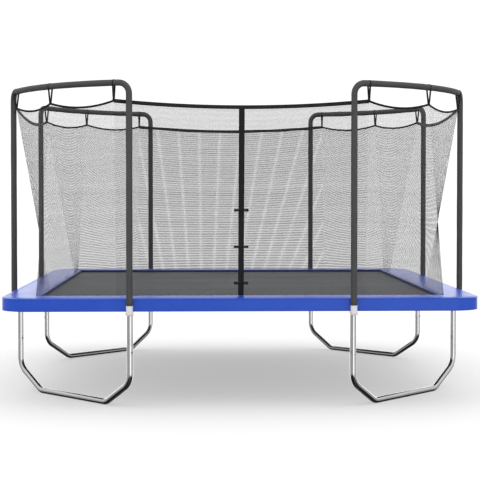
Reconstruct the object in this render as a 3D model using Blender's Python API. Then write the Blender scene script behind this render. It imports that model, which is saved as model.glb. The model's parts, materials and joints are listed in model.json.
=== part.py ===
"""Square garden trampoline with a zipped safety net, as separate parts in one assembly.

Metres, +Z up. The origin is on the ground under the middle of the mat, and the door side
faces -Y. The frame repeats every 90 degrees about Z, so each corner part is modelled once,
at the front left, and turned into its four places.
"""

from math import acos, asin, atan2, cos, pi, radians, sin, sqrt, tan

import bmesh
import bpy
from mathutils import Matrix, Vector

# Driving dimensions

TUBE_R = 0.0254  # frame and leg tube, two inches across
TUBE_WALL = 0.0014
TUBE_SIDES = 10
FIT = 0.0005  # clearance all round a swaged tube end
OVERRUN = 0.01  # how far a cutter runs past the piece that it cuts

RAIL_HALF = 1.944  # centre of the frame to the rail's centre line
RAIL_Z = 0.8556
RAIL_CORNER_R = 0.212
RAIL_JOINT = 0.62  # a corner tube ends this far from the middle of each side
RAIL_NECK = 0.10
CORNER_STEPS = 6

LEG_ALONG = 0.9085  # each leg stands this far from the middle of its side
POST_BOTTOM = 0.44  # the welded leg sockets end here
POST_R = 0.0252  # a hair under the rail's radius, so that the two join in a clean saddle
LEG_NECK = 0.12
LEG_BEND_Z = 0.212
LEG_BEND_R = 0.15
LEG_FOOT_IN = 0.293  # how far the diagonal comes in before the foot
LEG_FOOT_R = 0.12
BOLT_Z = 0.463
BOLT_R = 0.004
BOLT_HEAD_R = 0.0075
BOLT_HEAD_T = 0.005

HOOP_HALF = 2.0  # centre of the frame to a hoop pole, square to the side
HOOP_TOP = 2.646
HOOP_BEND_R = 0.09
HOOP_SAGITTA = 0.19  # how far the top of a hoop bows outwards from its chord
HOOP_ARC_STEPS = 4
POLE_R = 0.019
POLE_WALL = 0.0012
POLE_SIDES = 8
POLE_BOTTOM = 0.773
POLE_JOINT = 1.70
POLE_NECK = 0.10
SLEEVE_R = 0.026
SLEEVE_BORE_R = 0.0207
SLEEVE_BOTTOM = 0.8452

CAP_R = 0.0275
CAP_BOTTOM = 0.764
CAP_TOP = 0.8445
CAP_ROUNDING = ((0, 0.017), (0.006, 0.025), (0.014, CAP_R))  # (height, radius) from the bottom up
CAP_BORE_R = 0.0201
CAP_SIDES = 12
SADDLE_BOTTOM = 0.768
SADDLE_TOP = 0.790
SADDLE_HALF_WIDTH = 0.033
SADDLE_BORE_R = 0.0268

MAT_HALF = 1.715
MAT_TOP = 0.881
MAT_T = 0.002

SPRINGS_PER_SIDE = 20
SPRING_ROW_HALF = 1.60
SPRING_W = 0.019  # a bar as wide as the coil, and as thick as gives the spring its weight
SPRING_T = 0.004
SPRING_Z = 0.868
SPRING_STRIP = (1.719, 1.729)  # inner and outer edge of the strip that joins the mat's rings
SPRING_END = 1.9182

PAD_HALF = 1.972
PAD_CORNER_R = 0.24
PAD_INNER_HALF = 1.66
PAD_TOP = 0.902
PAD_T = 0.020
SKIRT_BOTTOM = 0.796
SKIRT_T = 0.002

NET_BOTTOM = 0.9035
NET_BASE_HALF = 1.70
NET_T = 0.003
APEX_Z = 2.512  # the net's hanging points
APEX_ARC = 0.133  # hanging points by the poles, along the hoop from each pole
SIDE_SAG = 0.075
END_SAG = 0.05
CORNER_SAG = 0.043
CORNER_SPAN_STEPS = 3
SIDE_SPAN_STEPS = 6
ROPE_R = 0.006
ROPE_SIDES = 6
STRAP_R = 0.004
STRAP_SPREAD = 0.017

DOOR_W = 0.0396
DOOR_T = 0.003
DOOR_SLOT_W = 0.0406
DOOR_BOTTOM = 0.9050
DOOR_TOP = 2.444
ZIP_REST_Z = 0.955
ZIP_SLIDER_W = 0.012
ZIP_SLIDER_T = 0.005
ZIP_SLIDER_H = 0.016
ZIP_TAB_W = 0.008
ZIP_TAB_T = 0.003
ZIP_TAB_H = 0.040
BUCKLE_HEIGHTS = {"top": 1.616, "middle": 1.313, "bottom": 1.009}
BUCKLE_OUT = 0.0035  # back of a buckle to the middle of the net
BUCKLE_HALF_W = 0.059
BUCKLE_T = 0.010
LUG_W = 0.033
LUG_HALF_H = 0.011
THROAT_W = 0.030
THROAT_HALF_H = 0.0065
THROAT_WALL = 0.0025
TONGUE_L = 0.028

CORNERS = ("front_left", "front_right", "back_right", "back_left")
SIDES = ("left", "front", "right", "back")

# Colour (linear RGB), roughness, metallic
FINISHES = {
    "galvanised_steel": ((0.62, 0.63, 0.65), 0.25, 1.0),
    "zinc_hardware": ((0.45, 0.45, 0.46), 0.35, 1.0),
    "spring_steel": ((0.55, 0.55, 0.56), 0.3, 1.0),
    "grey_sleeve": ((0.075, 0.075, 0.08), 0.8, 0.0),
    "white_cap": ((0.85, 0.85, 0.87), 0.35, 0.0),
    "black_mat": ((0.045, 0.046, 0.05), 0.75, 0.0),
    "blue_pvc": ((0.03, 0.09, 0.52), 0.35, 0.0),
    "net_mesh": ((0.02, 0.02, 0.022), 0.8, 0.0),
    "black_webbing": ((0.012, 0.012, 0.013), 0.7, 0.0),
    "black_plastic": ((0.015, 0.015, 0.016), 0.4, 0.0),
}


# Scene and object helpers


def clear_scene():
    for ob in list(bpy.data.objects):
        bpy.data.objects.remove(ob, do_unlink=True)


def material(name):
    found = bpy.data.materials.get(name)
    if found:
        return found
    colour, roughness, metallic = FINISHES[name]
    made = bpy.data.materials.new(name)
    made.use_nodes = True
    shader = made.node_tree.nodes["Principled BSDF"]
    shader.inputs["Base Color"].default_value = (*colour, 1.0)
    shader.inputs["Roughness"].default_value = roughness
    shader.inputs["Metallic"].default_value = metallic
    return made


def add_object(name, mesh, finish, location=(0, 0, 0), rotation=(0, 0, 0), parent=None):
    ob = bpy.data.objects.new(name, mesh)
    ob.location = location
    ob.rotation_euler = rotation
    ob.parent = parent
    bpy.context.scene.collection.objects.link(ob)
    if not mesh.materials:
        mesh.materials.append(material(finish))
    return ob


def mesh_from(bm, name, crease=35):
    """Close off a bmesh as a smooth-shaded mesh whose faces point outwards."""
    bmesh.ops.recalc_face_normals(bm, faces=bm.faces)
    mesh = bpy.data.meshes.new(name)
    bm.to_mesh(mesh)
    bm.free()
    mesh.shade_smooth()
    mesh.set_sharp_from_angle(angle=radians(crease))
    return mesh


def combined(base, tools, operation):
    """The base mesh after a Boolean with each of the tool meshes in turn."""
    for tool in tools:
        holder = add_object("boolean_base", base, "zinc_hardware")
        cutter = add_object("boolean_tool", tool, "zinc_hardware")
        cutter.hide_render = True
        cutter.display_type = "WIRE"
        modifier = holder.modifiers.new("combine", "BOOLEAN")
        modifier.operation = operation
        modifier.solver = "EXACT"
        modifier.object = cutter
        graph = bpy.context.evaluated_depsgraph_get()
        result = bpy.data.meshes.new_from_object(holder.evaluated_get(graph))
        for used in (holder, cutter):
            bpy.data.objects.remove(used, do_unlink=True)
        base = result
        base.materials.clear()
    return base


# Tubes and prisms


def path_frames(points, across):
    """For each path point: the point, the run's direction, the mitre plane and two side vectors."""
    frames = []
    side = across.normalized()
    for i, point in enumerate(points):
        before = (point - points[i - 1]).normalized() if i else None
        after = (points[i + 1] - point).normalized() if i + 1 < len(points) else None
        run = before or after
        mitre = ((before or after) + (after or before)).normalized()
        side = (side - run * side.dot(run)).normalized()
        frames.append((point, run, mitre, side.copy(), run.cross(side)))
        if before and after:
            side = before.rotation_difference(after) @ side
    return frames


def ring(bm, frame, radius, sides):
    """One mitred ring of vertices, with flats square to the side vectors."""
    point, run, mitre, u, v = frame
    verts = []
    for k in range(sides):
        angle = (k + 0.5) * 2 * pi / sides
        offset = (u * cos(angle) + v * sin(angle)) * radius
        offset -= run * (offset.dot(mitre) / run.dot(mitre))
        verts.append(bm.verts.new(point + offset))
    return verts


def bridge(bm, first, second):
    count = len(first)
    for k in range(count):
        m = (k + 1) % count
        bm.faces.new((first[k], first[m], second[m], second[k]))


def pipe(name, points, across, outer, inner, sides):
    """A hollow tube. outer and inner list (path index, radius) from one end to the other."""
    bm = bmesh.new()
    frames = path_frames(points, across)
    rings = [ring(bm, frames[i], r, sides) for i, r in outer]
    rings += [ring(bm, frames[i], r, sides) for i, r in reversed(inner)]
    for first, second in zip(rings, rings[1:] + rings[:1]):
        bridge(bm, first, second)
    return mesh_from(bm, name)


def rod(name, points, across, radii, sides):
    """A solid round bar through the points, with a radius at each."""
    bm = bmesh.new()
    frames = path_frames(points, across)
    rings = [ring(bm, frame, r, sides) for frame, r in zip(frames, radii)]
    for first, second in zip(rings, rings[1:]):
        bridge(bm, first, second)
    bm.faces.new(rings[0])
    bm.faces.new(rings[-1])
    return mesh_from(bm, name)


def plain_pipe(name, points, across, radius, bore, sides):
    every = range(len(points))
    return pipe(name, points, across, [(i, radius) for i in every], [(i, bore) for i in every], sides)


def prism(name, outline, low, high):
    """A flat outline, given as (x, y) pairs, raised from z = low to z = high."""
    bm = bmesh.new()
    floor = [bm.verts.new((x, y, low)) for x, y in outline]
    roof = [bm.verts.new((x, y, high)) for x, y in outline]
    bridge(bm, floor, roof)
    bm.faces.new(floor)
    bm.faces.new(roof)
    return mesh_from(bm, name)


def box(name, low, high):
    outline = [(low[0], low[1]), (high[0], low[1]), (high[0], high[1]), (low[0], high[1])]
    return prism(name, outline, low[2], high[2])


def rounded_square(half, radius, steps):
    """Outline of a square with round corners, as (x, y) pairs."""
    points = []
    for k in range(4):
        turn = pi / 4 + k * pi / 2
        centre = Vector((cos(turn), sin(turn))) * sqrt(2) * (half - radius)
        for step in range(steps + 1):
            angle = turn - pi / 4 + step * pi / 2 / steps
            points.append((centre.x + radius * cos(angle), centre.y + radius * sin(angle)))
    return points


def filleted(points, radius, steps):
    """A path whose inner corners are replaced by arcs of the given radius."""
    path = [points[0]]
    for before, corner, after in zip(points, points[1:], points[2:]):
        a = (before - corner).normalized()
        b = (after - corner).normalized()
        half_angle = acos(max(-1.0, min(1.0, a.dot(b)))) / 2
        centre = corner + (a + b).normalized() * (radius / sin(half_angle))
        start = corner + a * (radius / tan(half_angle)) - centre
        end = corner + b * (radius / tan(half_angle)) - centre
        turn = start.rotation_difference(end)
        for step in range(steps + 1):
            part = Matrix.Rotation(turn.angle * step / steps, 3, turn.axis)
            path.append(centre + part @ start)
    path.append(points[-1])
    return path


# Frame


def rail_path():
    """Centre line of the front-left frame corner, from the left side to the front."""
    arc_centre = RAIL_HALF - RAIL_CORNER_R
    path = [Vector((-RAIL_HALF, -RAIL_JOINT, RAIL_Z))]
    for step in range(CORNER_STEPS + 1):
        angle = pi + step * pi / 2 / CORNER_STEPS
        plan = Vector((cos(angle), sin(angle), 0)) * RAIL_CORNER_R
        path.append(Vector((-arc_centre, -arc_centre, RAIL_Z)) + plan)
    path.append(Vector((-RAIL_JOINT, -RAIL_HALF, RAIL_Z)))
    return path


LEG_A = Vector((-RAIL_HALF, -LEG_ALONG, 0))  # the front-left corner's leg on the left side
LEG_B = Vector((-LEG_ALONG, -RAIL_HALF, 0))  # and the one on the front
LEG_RUN = (LEG_B - LEG_A).normalized()
LEG_NORMAL = Vector((LEG_RUN.y, -LEG_RUN.x, 0))
FOOT_Z = TUBE_R * cos(pi / TUBE_SIDES)  # puts the flat under the foot on the ground


def bolt_cutters():
    """Bars that clear the bolt holes in both legs of the front-left corner."""
    cutters = []
    for leg in (LEG_A, LEG_B):
        centre = leg + Vector((0, 0, BOLT_Z))
        ends = [centre - LEG_RUN * 2 * TUBE_R, centre + LEG_RUN * 2 * TUBE_R]
        cutters.append(rod("bolt_hole", ends, LEG_NORMAL, [BOLT_R + FIT] * 2, 6))
    return cutters


def frame_corner_mesh():
    """The rail's corner with its two welded leg sockets, hollow throughout."""
    path = rail_path()
    up = Vector((0, 0, 1))
    overrun = [path[0] + Vector((0, OVERRUN, 0)), *path[1:-1], path[-1] + Vector((OVERRUN, 0, 0))]
    bore_r = TUBE_R - TUBE_WALL
    body = rod("frame_corner", path, up, [TUBE_R] * len(path), TUBE_SIDES)
    posts, bores = [], [rod("bore", overrun, up, [bore_r] * len(path), TUBE_SIDES)]
    for leg in (LEG_A, LEG_B):
        top = leg + Vector((0, 0, RAIL_Z))
        bottom = leg + Vector((0, 0, POST_BOTTOM))
        below = bottom - Vector((0, 0, OVERRUN))
        posts.append(rod("post", [bottom, top], LEG_RUN, [POST_R] * 2, TUBE_SIDES))
        bores.append(rod("bore", [below, top], LEG_RUN, [bore_r] * 2, TUBE_SIDES))
    body = combined(body, posts, "UNION")
    return combined(body, bores + bolt_cutters(), "DIFFERENCE")


def frame_side_mesh():
    """Straight rail on the left side, with a swaged neck at each end."""
    reach = RAIL_JOINT - FIT
    stops = [-reach - RAIL_NECK, -reach, reach, reach + RAIL_NECK]
    points = [Vector((-RAIL_HALF, y, RAIL_Z)) for y in stops]
    neck_r = TUBE_R - TUBE_WALL - FIT
    outer = [(0, neck_r), (1, neck_r), (1, TUBE_R), (2, TUBE_R), (2, neck_r), (3, neck_r)]
    inner = [(0, neck_r - TUBE_WALL), (3, neck_r - TUBE_WALL)]
    return pipe("frame_side", points, Vector((0, 0, 1)), outer, inner, TUBE_SIDES)


def leg_base_mesh():
    """The U-shaped leg: two uprights, two diagonals and the foot, in one bent tube."""
    inward = LEG_RUN * LEG_FOOT_IN
    upright_top = Vector((0, 0, POST_BOTTOM - FIT))
    bend = Vector((0, 0, LEG_BEND_Z))
    foot = Vector((0, 0, FOOT_Z))
    left = filleted([LEG_A + upright_top, LEG_A + bend, LEG_A + inward + foot], LEG_BEND_R, 3)
    right = filleted([LEG_B - inward + foot, LEG_B + bend, LEG_B + upright_top], LEG_BEND_R, 3)
    feet = filleted([left[-2], left[-1], right[0], right[1]], LEG_FOOT_R, 2)
    path = left[:-2] + feet + right[2:]
    neck = Vector((0, 0, LEG_NECK))
    points = [path[0] + neck, *path, path[-1] + neck]
    last = len(points) - 1
    neck_r = TUBE_R - TUBE_WALL - FIT
    body = [(i, TUBE_R) for i in range(1, last)]
    outer = [(0, neck_r), (1, neck_r), *body, (last - 1, neck_r), (last, neck_r)]
    inner = [(0, neck_r - TUBE_WALL)]
    inner += [(i, neck_r - TUBE_WALL) for i in range(2, last - 1)]
    inner += [(last, neck_r - TUBE_WALL)]
    mesh = pipe("leg_base", points, LEG_RUN, outer, inner, TUBE_SIDES)
    return combined(mesh, bolt_cutters(), "DIFFERENCE")


def leg_bolt_mesh():
    """A through bolt with its nut, lying along the leg's own plane."""
    grip = TUBE_R + FIT
    stops = [-grip - BOLT_HEAD_T, -grip, grip, grip + BOLT_HEAD_T]
    points = [LEG_RUN * s for s in stops]
    bm = bmesh.new()
    frames = path_frames(points, LEG_NORMAL)
    head, shank = BOLT_HEAD_R, BOLT_R
    steps = [(0, head), (1, head), (1, shank), (2, shank), (2, head), (3, head)]
    rings = [ring(bm, frames[i], r, 6) for i, r in steps]
    for first, second in zip(rings, rings[1:]):
        bridge(bm, first, second)
    bm.faces.new(rings[0])
    bm.faces.new(rings[-1])
    return mesh_from(bm, "leg_bolt")


def build_frame():
    corner, side = frame_corner_mesh(), frame_side_mesh()
    base, bolt = leg_base_mesh(), leg_bolt_mesh()
    for k, (where, side_name) in enumerate(zip(CORNERS, SIDES)):
        turn = (0, 0, k * pi / 2)
        spin = Matrix.Rotation(k * pi / 2, 3, "Z")
        add_object(f"frame_corner_{where}", corner, "galvanised_steel", rotation=turn)
        add_object(f"frame_side_{side_name}", side, "galvanised_steel", rotation=turn)
        add_object(f"leg_base_{where}", base, "galvanised_steel", rotation=turn)
        for number, leg in enumerate((LEG_A, LEG_B), start=1):
            place = spin @ (leg + Vector((0, 0, BOLT_Z)))
            add_object(f"leg_bolt_{where}_{number}", bolt, "zinc_hardware", place, turn)


# Net hoops


def hoop_arc():
    """Centre, radius and end angles of the front-left hoop's top, seen from above."""
    a = Vector((-HOOP_HALF, -LEG_ALONG, 0))
    b = Vector((-LEG_ALONG, -HOOP_HALF, 0))
    half_chord = (b - a).length / 2
    radius = (half_chord**2 + HOOP_SAGITTA**2) / (2 * HOOP_SAGITTA)
    outward = Vector((-1, -1, 0)).normalized()
    centre = (a + b) / 2 - outward * (radius - HOOP_SAGITTA)
    swing = asin(half_chord / radius)
    middle = atan2(outward.y, outward.x)
    return centre, radius, middle - swing, middle + swing


def hoop_point(arc_length, z):
    """A point of the front-left hoop's top, by its distance along the arc from the left pole."""
    centre, radius, start, _ = hoop_arc()
    angle = start + arc_length / radius
    return centre + Vector((cos(angle), sin(angle), 0)) * radius + Vector((0, 0, z - centre.z))


def hoop_length():
    _, radius, start, end = hoop_arc()
    return radius * (end - start)


def hoop_path(bottom):
    """Centre line of the front-left hoop, from the left pole's foot to the front pole's."""
    step = hoop_length() / HOOP_ARC_STEPS
    top = [hoop_point(i * step, HOOP_TOP) for i in range(HOOP_ARC_STEPS + 1)]
    feet = [Vector((top[0].x, top[0].y, bottom)), Vector((top[-1].x, top[-1].y, bottom))]
    left = filleted([feet[0], top[0], top[1]], HOOP_BEND_R, 2)
    right = filleted([top[-2], top[-1], feet[1]], HOOP_BEND_R, 2)
    return left + top[2:-2] + right


def hoop_across():
    return Vector((1, 1, 0)).normalized()


def pole_mesh():
    """Lower half of a pole, standing on the origin's vertical, with a neck that enters the arch."""
    stops = [POLE_BOTTOM, POLE_JOINT - FIT, POLE_JOINT + POLE_NECK]
    points = [Vector((0, 0, z)) for z in stops]
    neck_r = POLE_R - POLE_WALL - FIT
    outer = [(0, POLE_R), (1, POLE_R), (1, neck_r), (2, neck_r)]
    inner = [(0, neck_r - POLE_WALL), (2, neck_r - POLE_WALL)]
    return pipe("hoop_pole", points, hoop_across(), outer, inner, POLE_SIDES)


def arch_mesh():
    path = hoop_path(POLE_JOINT)
    return plain_pipe("hoop_arch", path, hoop_across(), POLE_R, POLE_R - POLE_WALL, POLE_SIDES)


def sleeve_mesh():
    path = hoop_path(SLEEVE_BOTTOM)
    return plain_pipe("hoop_sleeve", path, hoop_across(), SLEEVE_R, SLEEVE_BORE_R, POLE_SIDES)


def pole_cap_mesh():
    """Socket at the foot of a left-side pole, with a saddle that hugs the leg behind it."""
    steps = [(CAP_BOTTOM + height, r) for height, r in CAP_ROUNDING] + [(CAP_TOP, CAP_R)]
    points = [Vector((-HOOP_HALF, 0, z)) for z, _ in steps]
    across = Vector((1, 0, 0))
    cup = rod("pole_cap", points, across, [r for _, r in steps], CAP_SIDES)
    low = (-HOOP_HALF, -SADDLE_HALF_WIDTH, SADDLE_BOTTOM)
    high = (-RAIL_HALF, SADDLE_HALF_WIDTH, SADDLE_TOP)
    cup = combined(cup, [box("saddle", low, high)], "UNION")
    bore = [Vector((-HOOP_HALF, 0, z)) for z in (POLE_BOTTOM - FIT, CAP_TOP + OVERRUN)]
    leg = [Vector((-RAIL_HALF, 0, z)) for z in (CAP_BOTTOM - OVERRUN, SADDLE_TOP + OVERRUN)]
    cutters = [rod("bore", bore, across, [CAP_BORE_R] * 2, CAP_SIDES)]
    cutters.append(rod("leg_clearance", leg, across, [SADDLE_BORE_R] * 2, CAP_SIDES))
    return combined(cup, cutters, "DIFFERENCE")


def build_hoops():
    pole, arch, sleeve, cap = pole_mesh(), arch_mesh(), sleeve_mesh(), pole_cap_mesh()
    feet = (hoop_point(0, 0), hoop_point(hoop_length(), 0))
    for k, where in enumerate(CORNERS):
        turn = (0, 0, k * pi / 2)
        spin = Matrix.Rotation(k * pi / 2, 3, "Z")
        add_object(f"hoop_arch_{where}", arch, "galvanised_steel", rotation=turn)
        add_object(f"hoop_sleeve_{where}", sleeve, "grey_sleeve", rotation=turn)
        for number, foot in enumerate(feet, start=1):
            add_object(f"hoop_pole_{where}_{number}", pole, "galvanised_steel", spin @ foot, turn)
        cap_turns = (turn, (0, 0, (k + 1) * pi / 2))
        for number, (along, cap_turn) in enumerate(zip((-LEG_ALONG, LEG_ALONG), cap_turns), start=1):
            place = Matrix.Rotation(cap_turn[2], 3, "Z") @ Vector((0, along, 0))
            add_object(f"pole_cap_{where}_{number}", cap, "white_cap", place, cap_turn)


# Mat, springs and pad


def spring_row_mesh():
    """The left side's coil springs as plain bars, on the strip of rings along the mat's edge."""
    pitch = 2 * SPRING_ROW_HALF / (SPRINGS_PER_SIDE - 1)
    strip_in, strip_out = SPRING_STRIP
    half = SPRING_ROW_HALF + SPRING_W
    outline = [(-strip_in, half), (-strip_in, -half), (-strip_out, -half)]
    for i in range(SPRINGS_PER_SIDE):
        y = -SPRING_ROW_HALF + i * pitch
        near, far = y - SPRING_W / 2, y + SPRING_W / 2
        outline += [(-strip_out, near), (-SPRING_END, near), (-SPRING_END, far), (-strip_out, far)]
    outline.append((-strip_out, half))
    return prism("spring_row", outline, SPRING_Z - SPRING_T / 2, SPRING_Z + SPRING_T / 2)


def pad_mesh():
    """One ring of padding with a skirt hanging round its outside."""
    edge = rounded_square(PAD_HALF, PAD_CORNER_R, CORNER_STEPS)
    outer = prism("safety_pad", edge, SKIRT_BOTTOM, PAD_TOP)
    skirt_in = rounded_square(PAD_HALF - SKIRT_T, PAD_CORNER_R - SKIRT_T, CORNER_STEPS)
    under = prism("under_pad", skirt_in, SKIRT_BOTTOM - OVERRUN, PAD_TOP - PAD_T)
    low = (-PAD_INNER_HALF, -PAD_INNER_HALF, SKIRT_BOTTOM)
    high = (PAD_INNER_HALF, PAD_INNER_HALF, PAD_TOP + OVERRUN)
    return combined(outer, [under, box("pad_hole", low, high)], "DIFFERENCE")


def build_bed():
    row = spring_row_mesh()
    for k, side_name in enumerate(SIDES):
        add_object(f"spring_row_{side_name}", row, "spring_steel", rotation=(0, 0, k * pi / 2))
    low = (-MAT_HALF, -MAT_HALF, -MAT_T)
    mat = box("jump_mat", low, (MAT_HALF, MAT_HALF, 0))
    add_object("jump_mat", mat, "black_mat", location=(0, 0, MAT_TOP))
    add_object("safety_pad", pad_mesh(), "blue_pvc")


# Net, top rope and door


def hanging_points():
    """The net's twelve hanging points in order round the net, from the left side's rear one."""
    points = []
    arcs = (APEX_ARC, hoop_length() / 2, hoop_length() - APEX_ARC)
    for k in range(4):
        spin = Matrix.Rotation(k * pi / 2, 3, "Z")
        points += [spin @ hoop_point(arc, APEX_Z) for arc in arcs]
    return points


def top_edge():
    """Points along the net's top edge, which sags between its hanging points."""
    apexes = hanging_points()
    edge = []
    for i, start in enumerate(apexes):
        end = apexes[(i + 1) % len(apexes)]
        long_span = i % 3 == 2
        on_end = long_span and abs(start.y - end.y) < 0.01
        sag = CORNER_SAG if not long_span else END_SAG if on_end else SIDE_SAG
        steps = SIDE_SPAN_STEPS if long_span else CORNER_SPAN_STEPS
        for step in range(steps):
            t = step / steps
            edge.append(start.lerp(end, t) - Vector((0, 0, 4 * sag * t * (1 - t))))
    return edge


def bottom_edge():
    """Where each point of the net's top edge comes down on the pad, in the same order."""
    apexes = hanging_points()
    feet = []
    for i, apex in enumerate(apexes):
        corner = i % 3 == 1
        x, y = apex.x, apex.y
        if corner or abs(x) > abs(y):
            x = NET_BASE_HALF if x > 0 else -NET_BASE_HALF
        if corner or abs(y) > abs(x):
            y = NET_BASE_HALF if y > 0 else -NET_BASE_HALF
        feet.append(Vector((x, y, NET_BOTTOM)))
    edge = []
    for i, start in enumerate(feet):
        end = feet[(i + 1) % len(feet)]
        steps = SIDE_SPAN_STEPS if i % 3 == 2 else CORNER_SPAN_STEPS
        edge += [start.lerp(end, step / steps) for step in range(steps)]
    return edge


def net_outward(edge, i):
    """Level direction that points out of the net at one point of an edge."""
    run = edge[(i + 1) % len(edge)] - edge[i - 1]
    return Vector((run.y, -run.x, 0)).normalized() * -1


def net_mesh():
    """Thin skin between the top rope and the pad, slit at the front for the door."""
    top = [p - Vector((0, 0, ROPE_R + FIT)) for p in top_edge()]
    bottom = bottom_edge()
    bm = bmesh.new()
    columns = []
    for i, (high, low) in enumerate(zip(top, bottom)):
        out_high, out_low = (net_outward(e, i) * NET_T / 2 for e in (top, bottom))
        corners = (low + out_low, high + out_high, high - out_high, low - out_low)
        columns.append([bm.verts.new(c) for c in corners])
    for first, second in zip(columns, columns[1:] + columns[:1]):
        for foot, head in ((0, 1), (3, 2)):  # both faces turn over the same diagonal, so they stay apart
            bm.faces.new((first[foot], second[foot], second[head]))
            bm.faces.new((first[foot], second[head], first[head]))
        for near, far in ((1, 2), (3, 0)):
            bm.faces.new((first[near], second[near], second[far], first[far]))
    skin = mesh_from(bm, "net")
    low = (-DOOR_SLOT_W / 2, -HOOP_HALF, NET_BOTTOM - OVERRUN)
    high = (DOOR_SLOT_W / 2, 0, DOOR_TOP + FIT)
    return combined(skin, [box("door_slot", low, high)], "DIFFERENCE")


def rope_mesh():
    """The rope along the net's top edge, with a V of strap from each hanging point to its hoop."""
    edge = top_edge()
    bm = bmesh.new()
    rings = []
    for i, point in enumerate(edge):
        before = (point - edge[i - 1]).normalized()
        after = (edge[(i + 1) % len(edge)] - point).normalized()
        mitre = (before + after).normalized()
        out = Vector((before.y, -before.x, 0)).normalized()
        rings.append(ring(bm, (point, before, mitre, out, before.cross(out)), ROPE_R, ROPE_SIDES))
    for first, second in zip(rings, rings[1:] + rings[:1]):
        bridge(bm, first, second)
    rope = mesh_from(bm, "net_top_rope")
    straps = []
    strap_top = HOOP_TOP - SLEEVE_R - FIT
    arcs = (APEX_ARC, hoop_length() / 2, hoop_length() - APEX_ARC)
    for k in range(4):
        spin = Matrix.Rotation(k * pi / 2, 3, "Z")
        for arc in arcs:
            apex = spin @ hoop_point(arc, APEX_Z)
            for reach in (-STRAP_SPREAD, STRAP_SPREAD):
                end = spin @ hoop_point(arc + reach, strap_top)
                straps.append(rod("strap", [apex, end], Vector((1, 0, 0)), [STRAP_R] * 2, 4))
    return combined(rope, straps, "UNION")


def door_plane():
    """The front net panel's foot at the door, and the direction straight up it from there."""
    foot = Vector((0, -NET_BASE_HALF, NET_BOTTOM))
    top = hoop_point(hoop_length() - APEX_ARC, APEX_Z - END_SAG - ROPE_R)
    return foot, Vector((0, top.y - foot.y, top.z - foot.z)).normalized()


def door_point(z):
    foot, up = door_plane()
    return foot + up * ((z - foot.z) / up.z)


def door_tilt():
    """Rotation about X that lays a part's own Z along the front panel."""
    _, up = door_plane()
    return atan2(-up.y, up.z)


def door_flap_mesh():
    length = (door_point(DOOR_TOP) - door_point(DOOR_BOTTOM)).length
    return box("door_flap", (-DOOR_W / 2, -DOOR_T / 2, 0), (DOOR_W / 2, DOOR_T / 2, length))


def zip_slider_mesh():
    """A slider on the inner face of the door strip, with a pull tab hanging down it."""
    face = DOOR_T / 2 + FIT
    half, half_tab = ZIP_SLIDER_W / 2, ZIP_TAB_W / 2
    body = box("zip_slider", (-half, face, 0), (half, face + ZIP_SLIDER_T, ZIP_SLIDER_H))
    tab_face = face + ZIP_SLIDER_T - FIT
    tab_top = ZIP_SLIDER_H / 2
    tab_low = (-half_tab, tab_face, tab_top - ZIP_TAB_H)
    tab = box("tab", tab_low, (half_tab, tab_face + ZIP_TAB_T, tab_top))
    return combined(body, [tab], "UNION")


def buckle_box(name, left, right, half_height, cover):
    """A bar of the buckle between two X places, set back by cover from its front and its back."""
    return box(name, (left, cover - BUCKLE_T, -half_height), (right, -cover, half_height))


def buckle_female_mesh():
    """Left half of a buckle: a strap lug and a throat that is open to the right."""
    lug = buckle_box("buckle_female", -BUCKLE_HALF_W, LUG_W - BUCKLE_HALF_W, LUG_HALF_H, 0)
    throat = buckle_box("throat", -THROAT_W, -FIT, THROAT_HALF_H, 0)
    hollow = buckle_box("hollow", -THROAT_W, OVERRUN, THROAT_HALF_H - THROAT_WALL, THROAT_WALL)
    return combined(combined(lug, [throat], "UNION"), [hollow], "DIFFERENCE")


def buckle_male_mesh():
    """Right half of a buckle: a strap lug, a shoulder and the tongue that enters the throat."""
    lug = buckle_box("buckle_male", BUCKLE_HALF_W - LUG_W, BUCKLE_HALF_W, LUG_HALF_H, 0)
    shoulder = buckle_box("shoulder", FIT, THROAT_W, THROAT_HALF_H, 0)
    cover = THROAT_WALL + FIT
    tongue = buckle_box("tongue", -TONGUE_L, 0.5 * LUG_W, THROAT_HALF_H - cover, cover)
    return combined(lug, [shoulder, tongue], "UNION")


def build_net():
    add_object("net", net_mesh(), "net_mesh")
    add_object("net_top_rope", rope_mesh(), "black_webbing")
    tilt = (door_tilt(), 0, 0)
    add_object("door_flap", door_flap_mesh(), "black_webbing", door_point(DOOR_BOTTOM), tilt)
    add_object("zip_slider", zip_slider_mesh(), "black_plastic", door_point(ZIP_REST_Z), tilt)
    female, male = buckle_female_mesh(), buckle_male_mesh()
    for name, z in BUCKLE_HEIGHTS.items():
        holder = bpy.data.objects.new(f"buckle_{name}", None)
        holder.location = door_point(z) + Vector((0, -BUCKLE_OUT, 0))
        holder.rotation_euler = tilt
        bpy.context.scene.collection.objects.link(holder)
        add_object(f"buckle_{name}_female", female, "black_plastic", parent=holder)
        add_object(f"buckle_{name}_male", male, "black_plastic", parent=holder)


def main():
    clear_scene()
    build_frame()
    build_hoops()
    build_bed()
    build_net()


main()
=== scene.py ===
"""Looks of the square trampoline: steel tubes, padded sleeves, springs, pad, mat and safety net.

Metres, +Z up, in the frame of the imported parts. The frame repeats every 90 degrees about Z, so
each corner piece is built once, at the front left, and turned into its four places.
"""

import json
from math import acos, asin, atan2, cos, pi, radians, sin, sqrt, tan

import bmesh
import bpy
import numpy as np
from mathutils import Matrix, Vector


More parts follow.
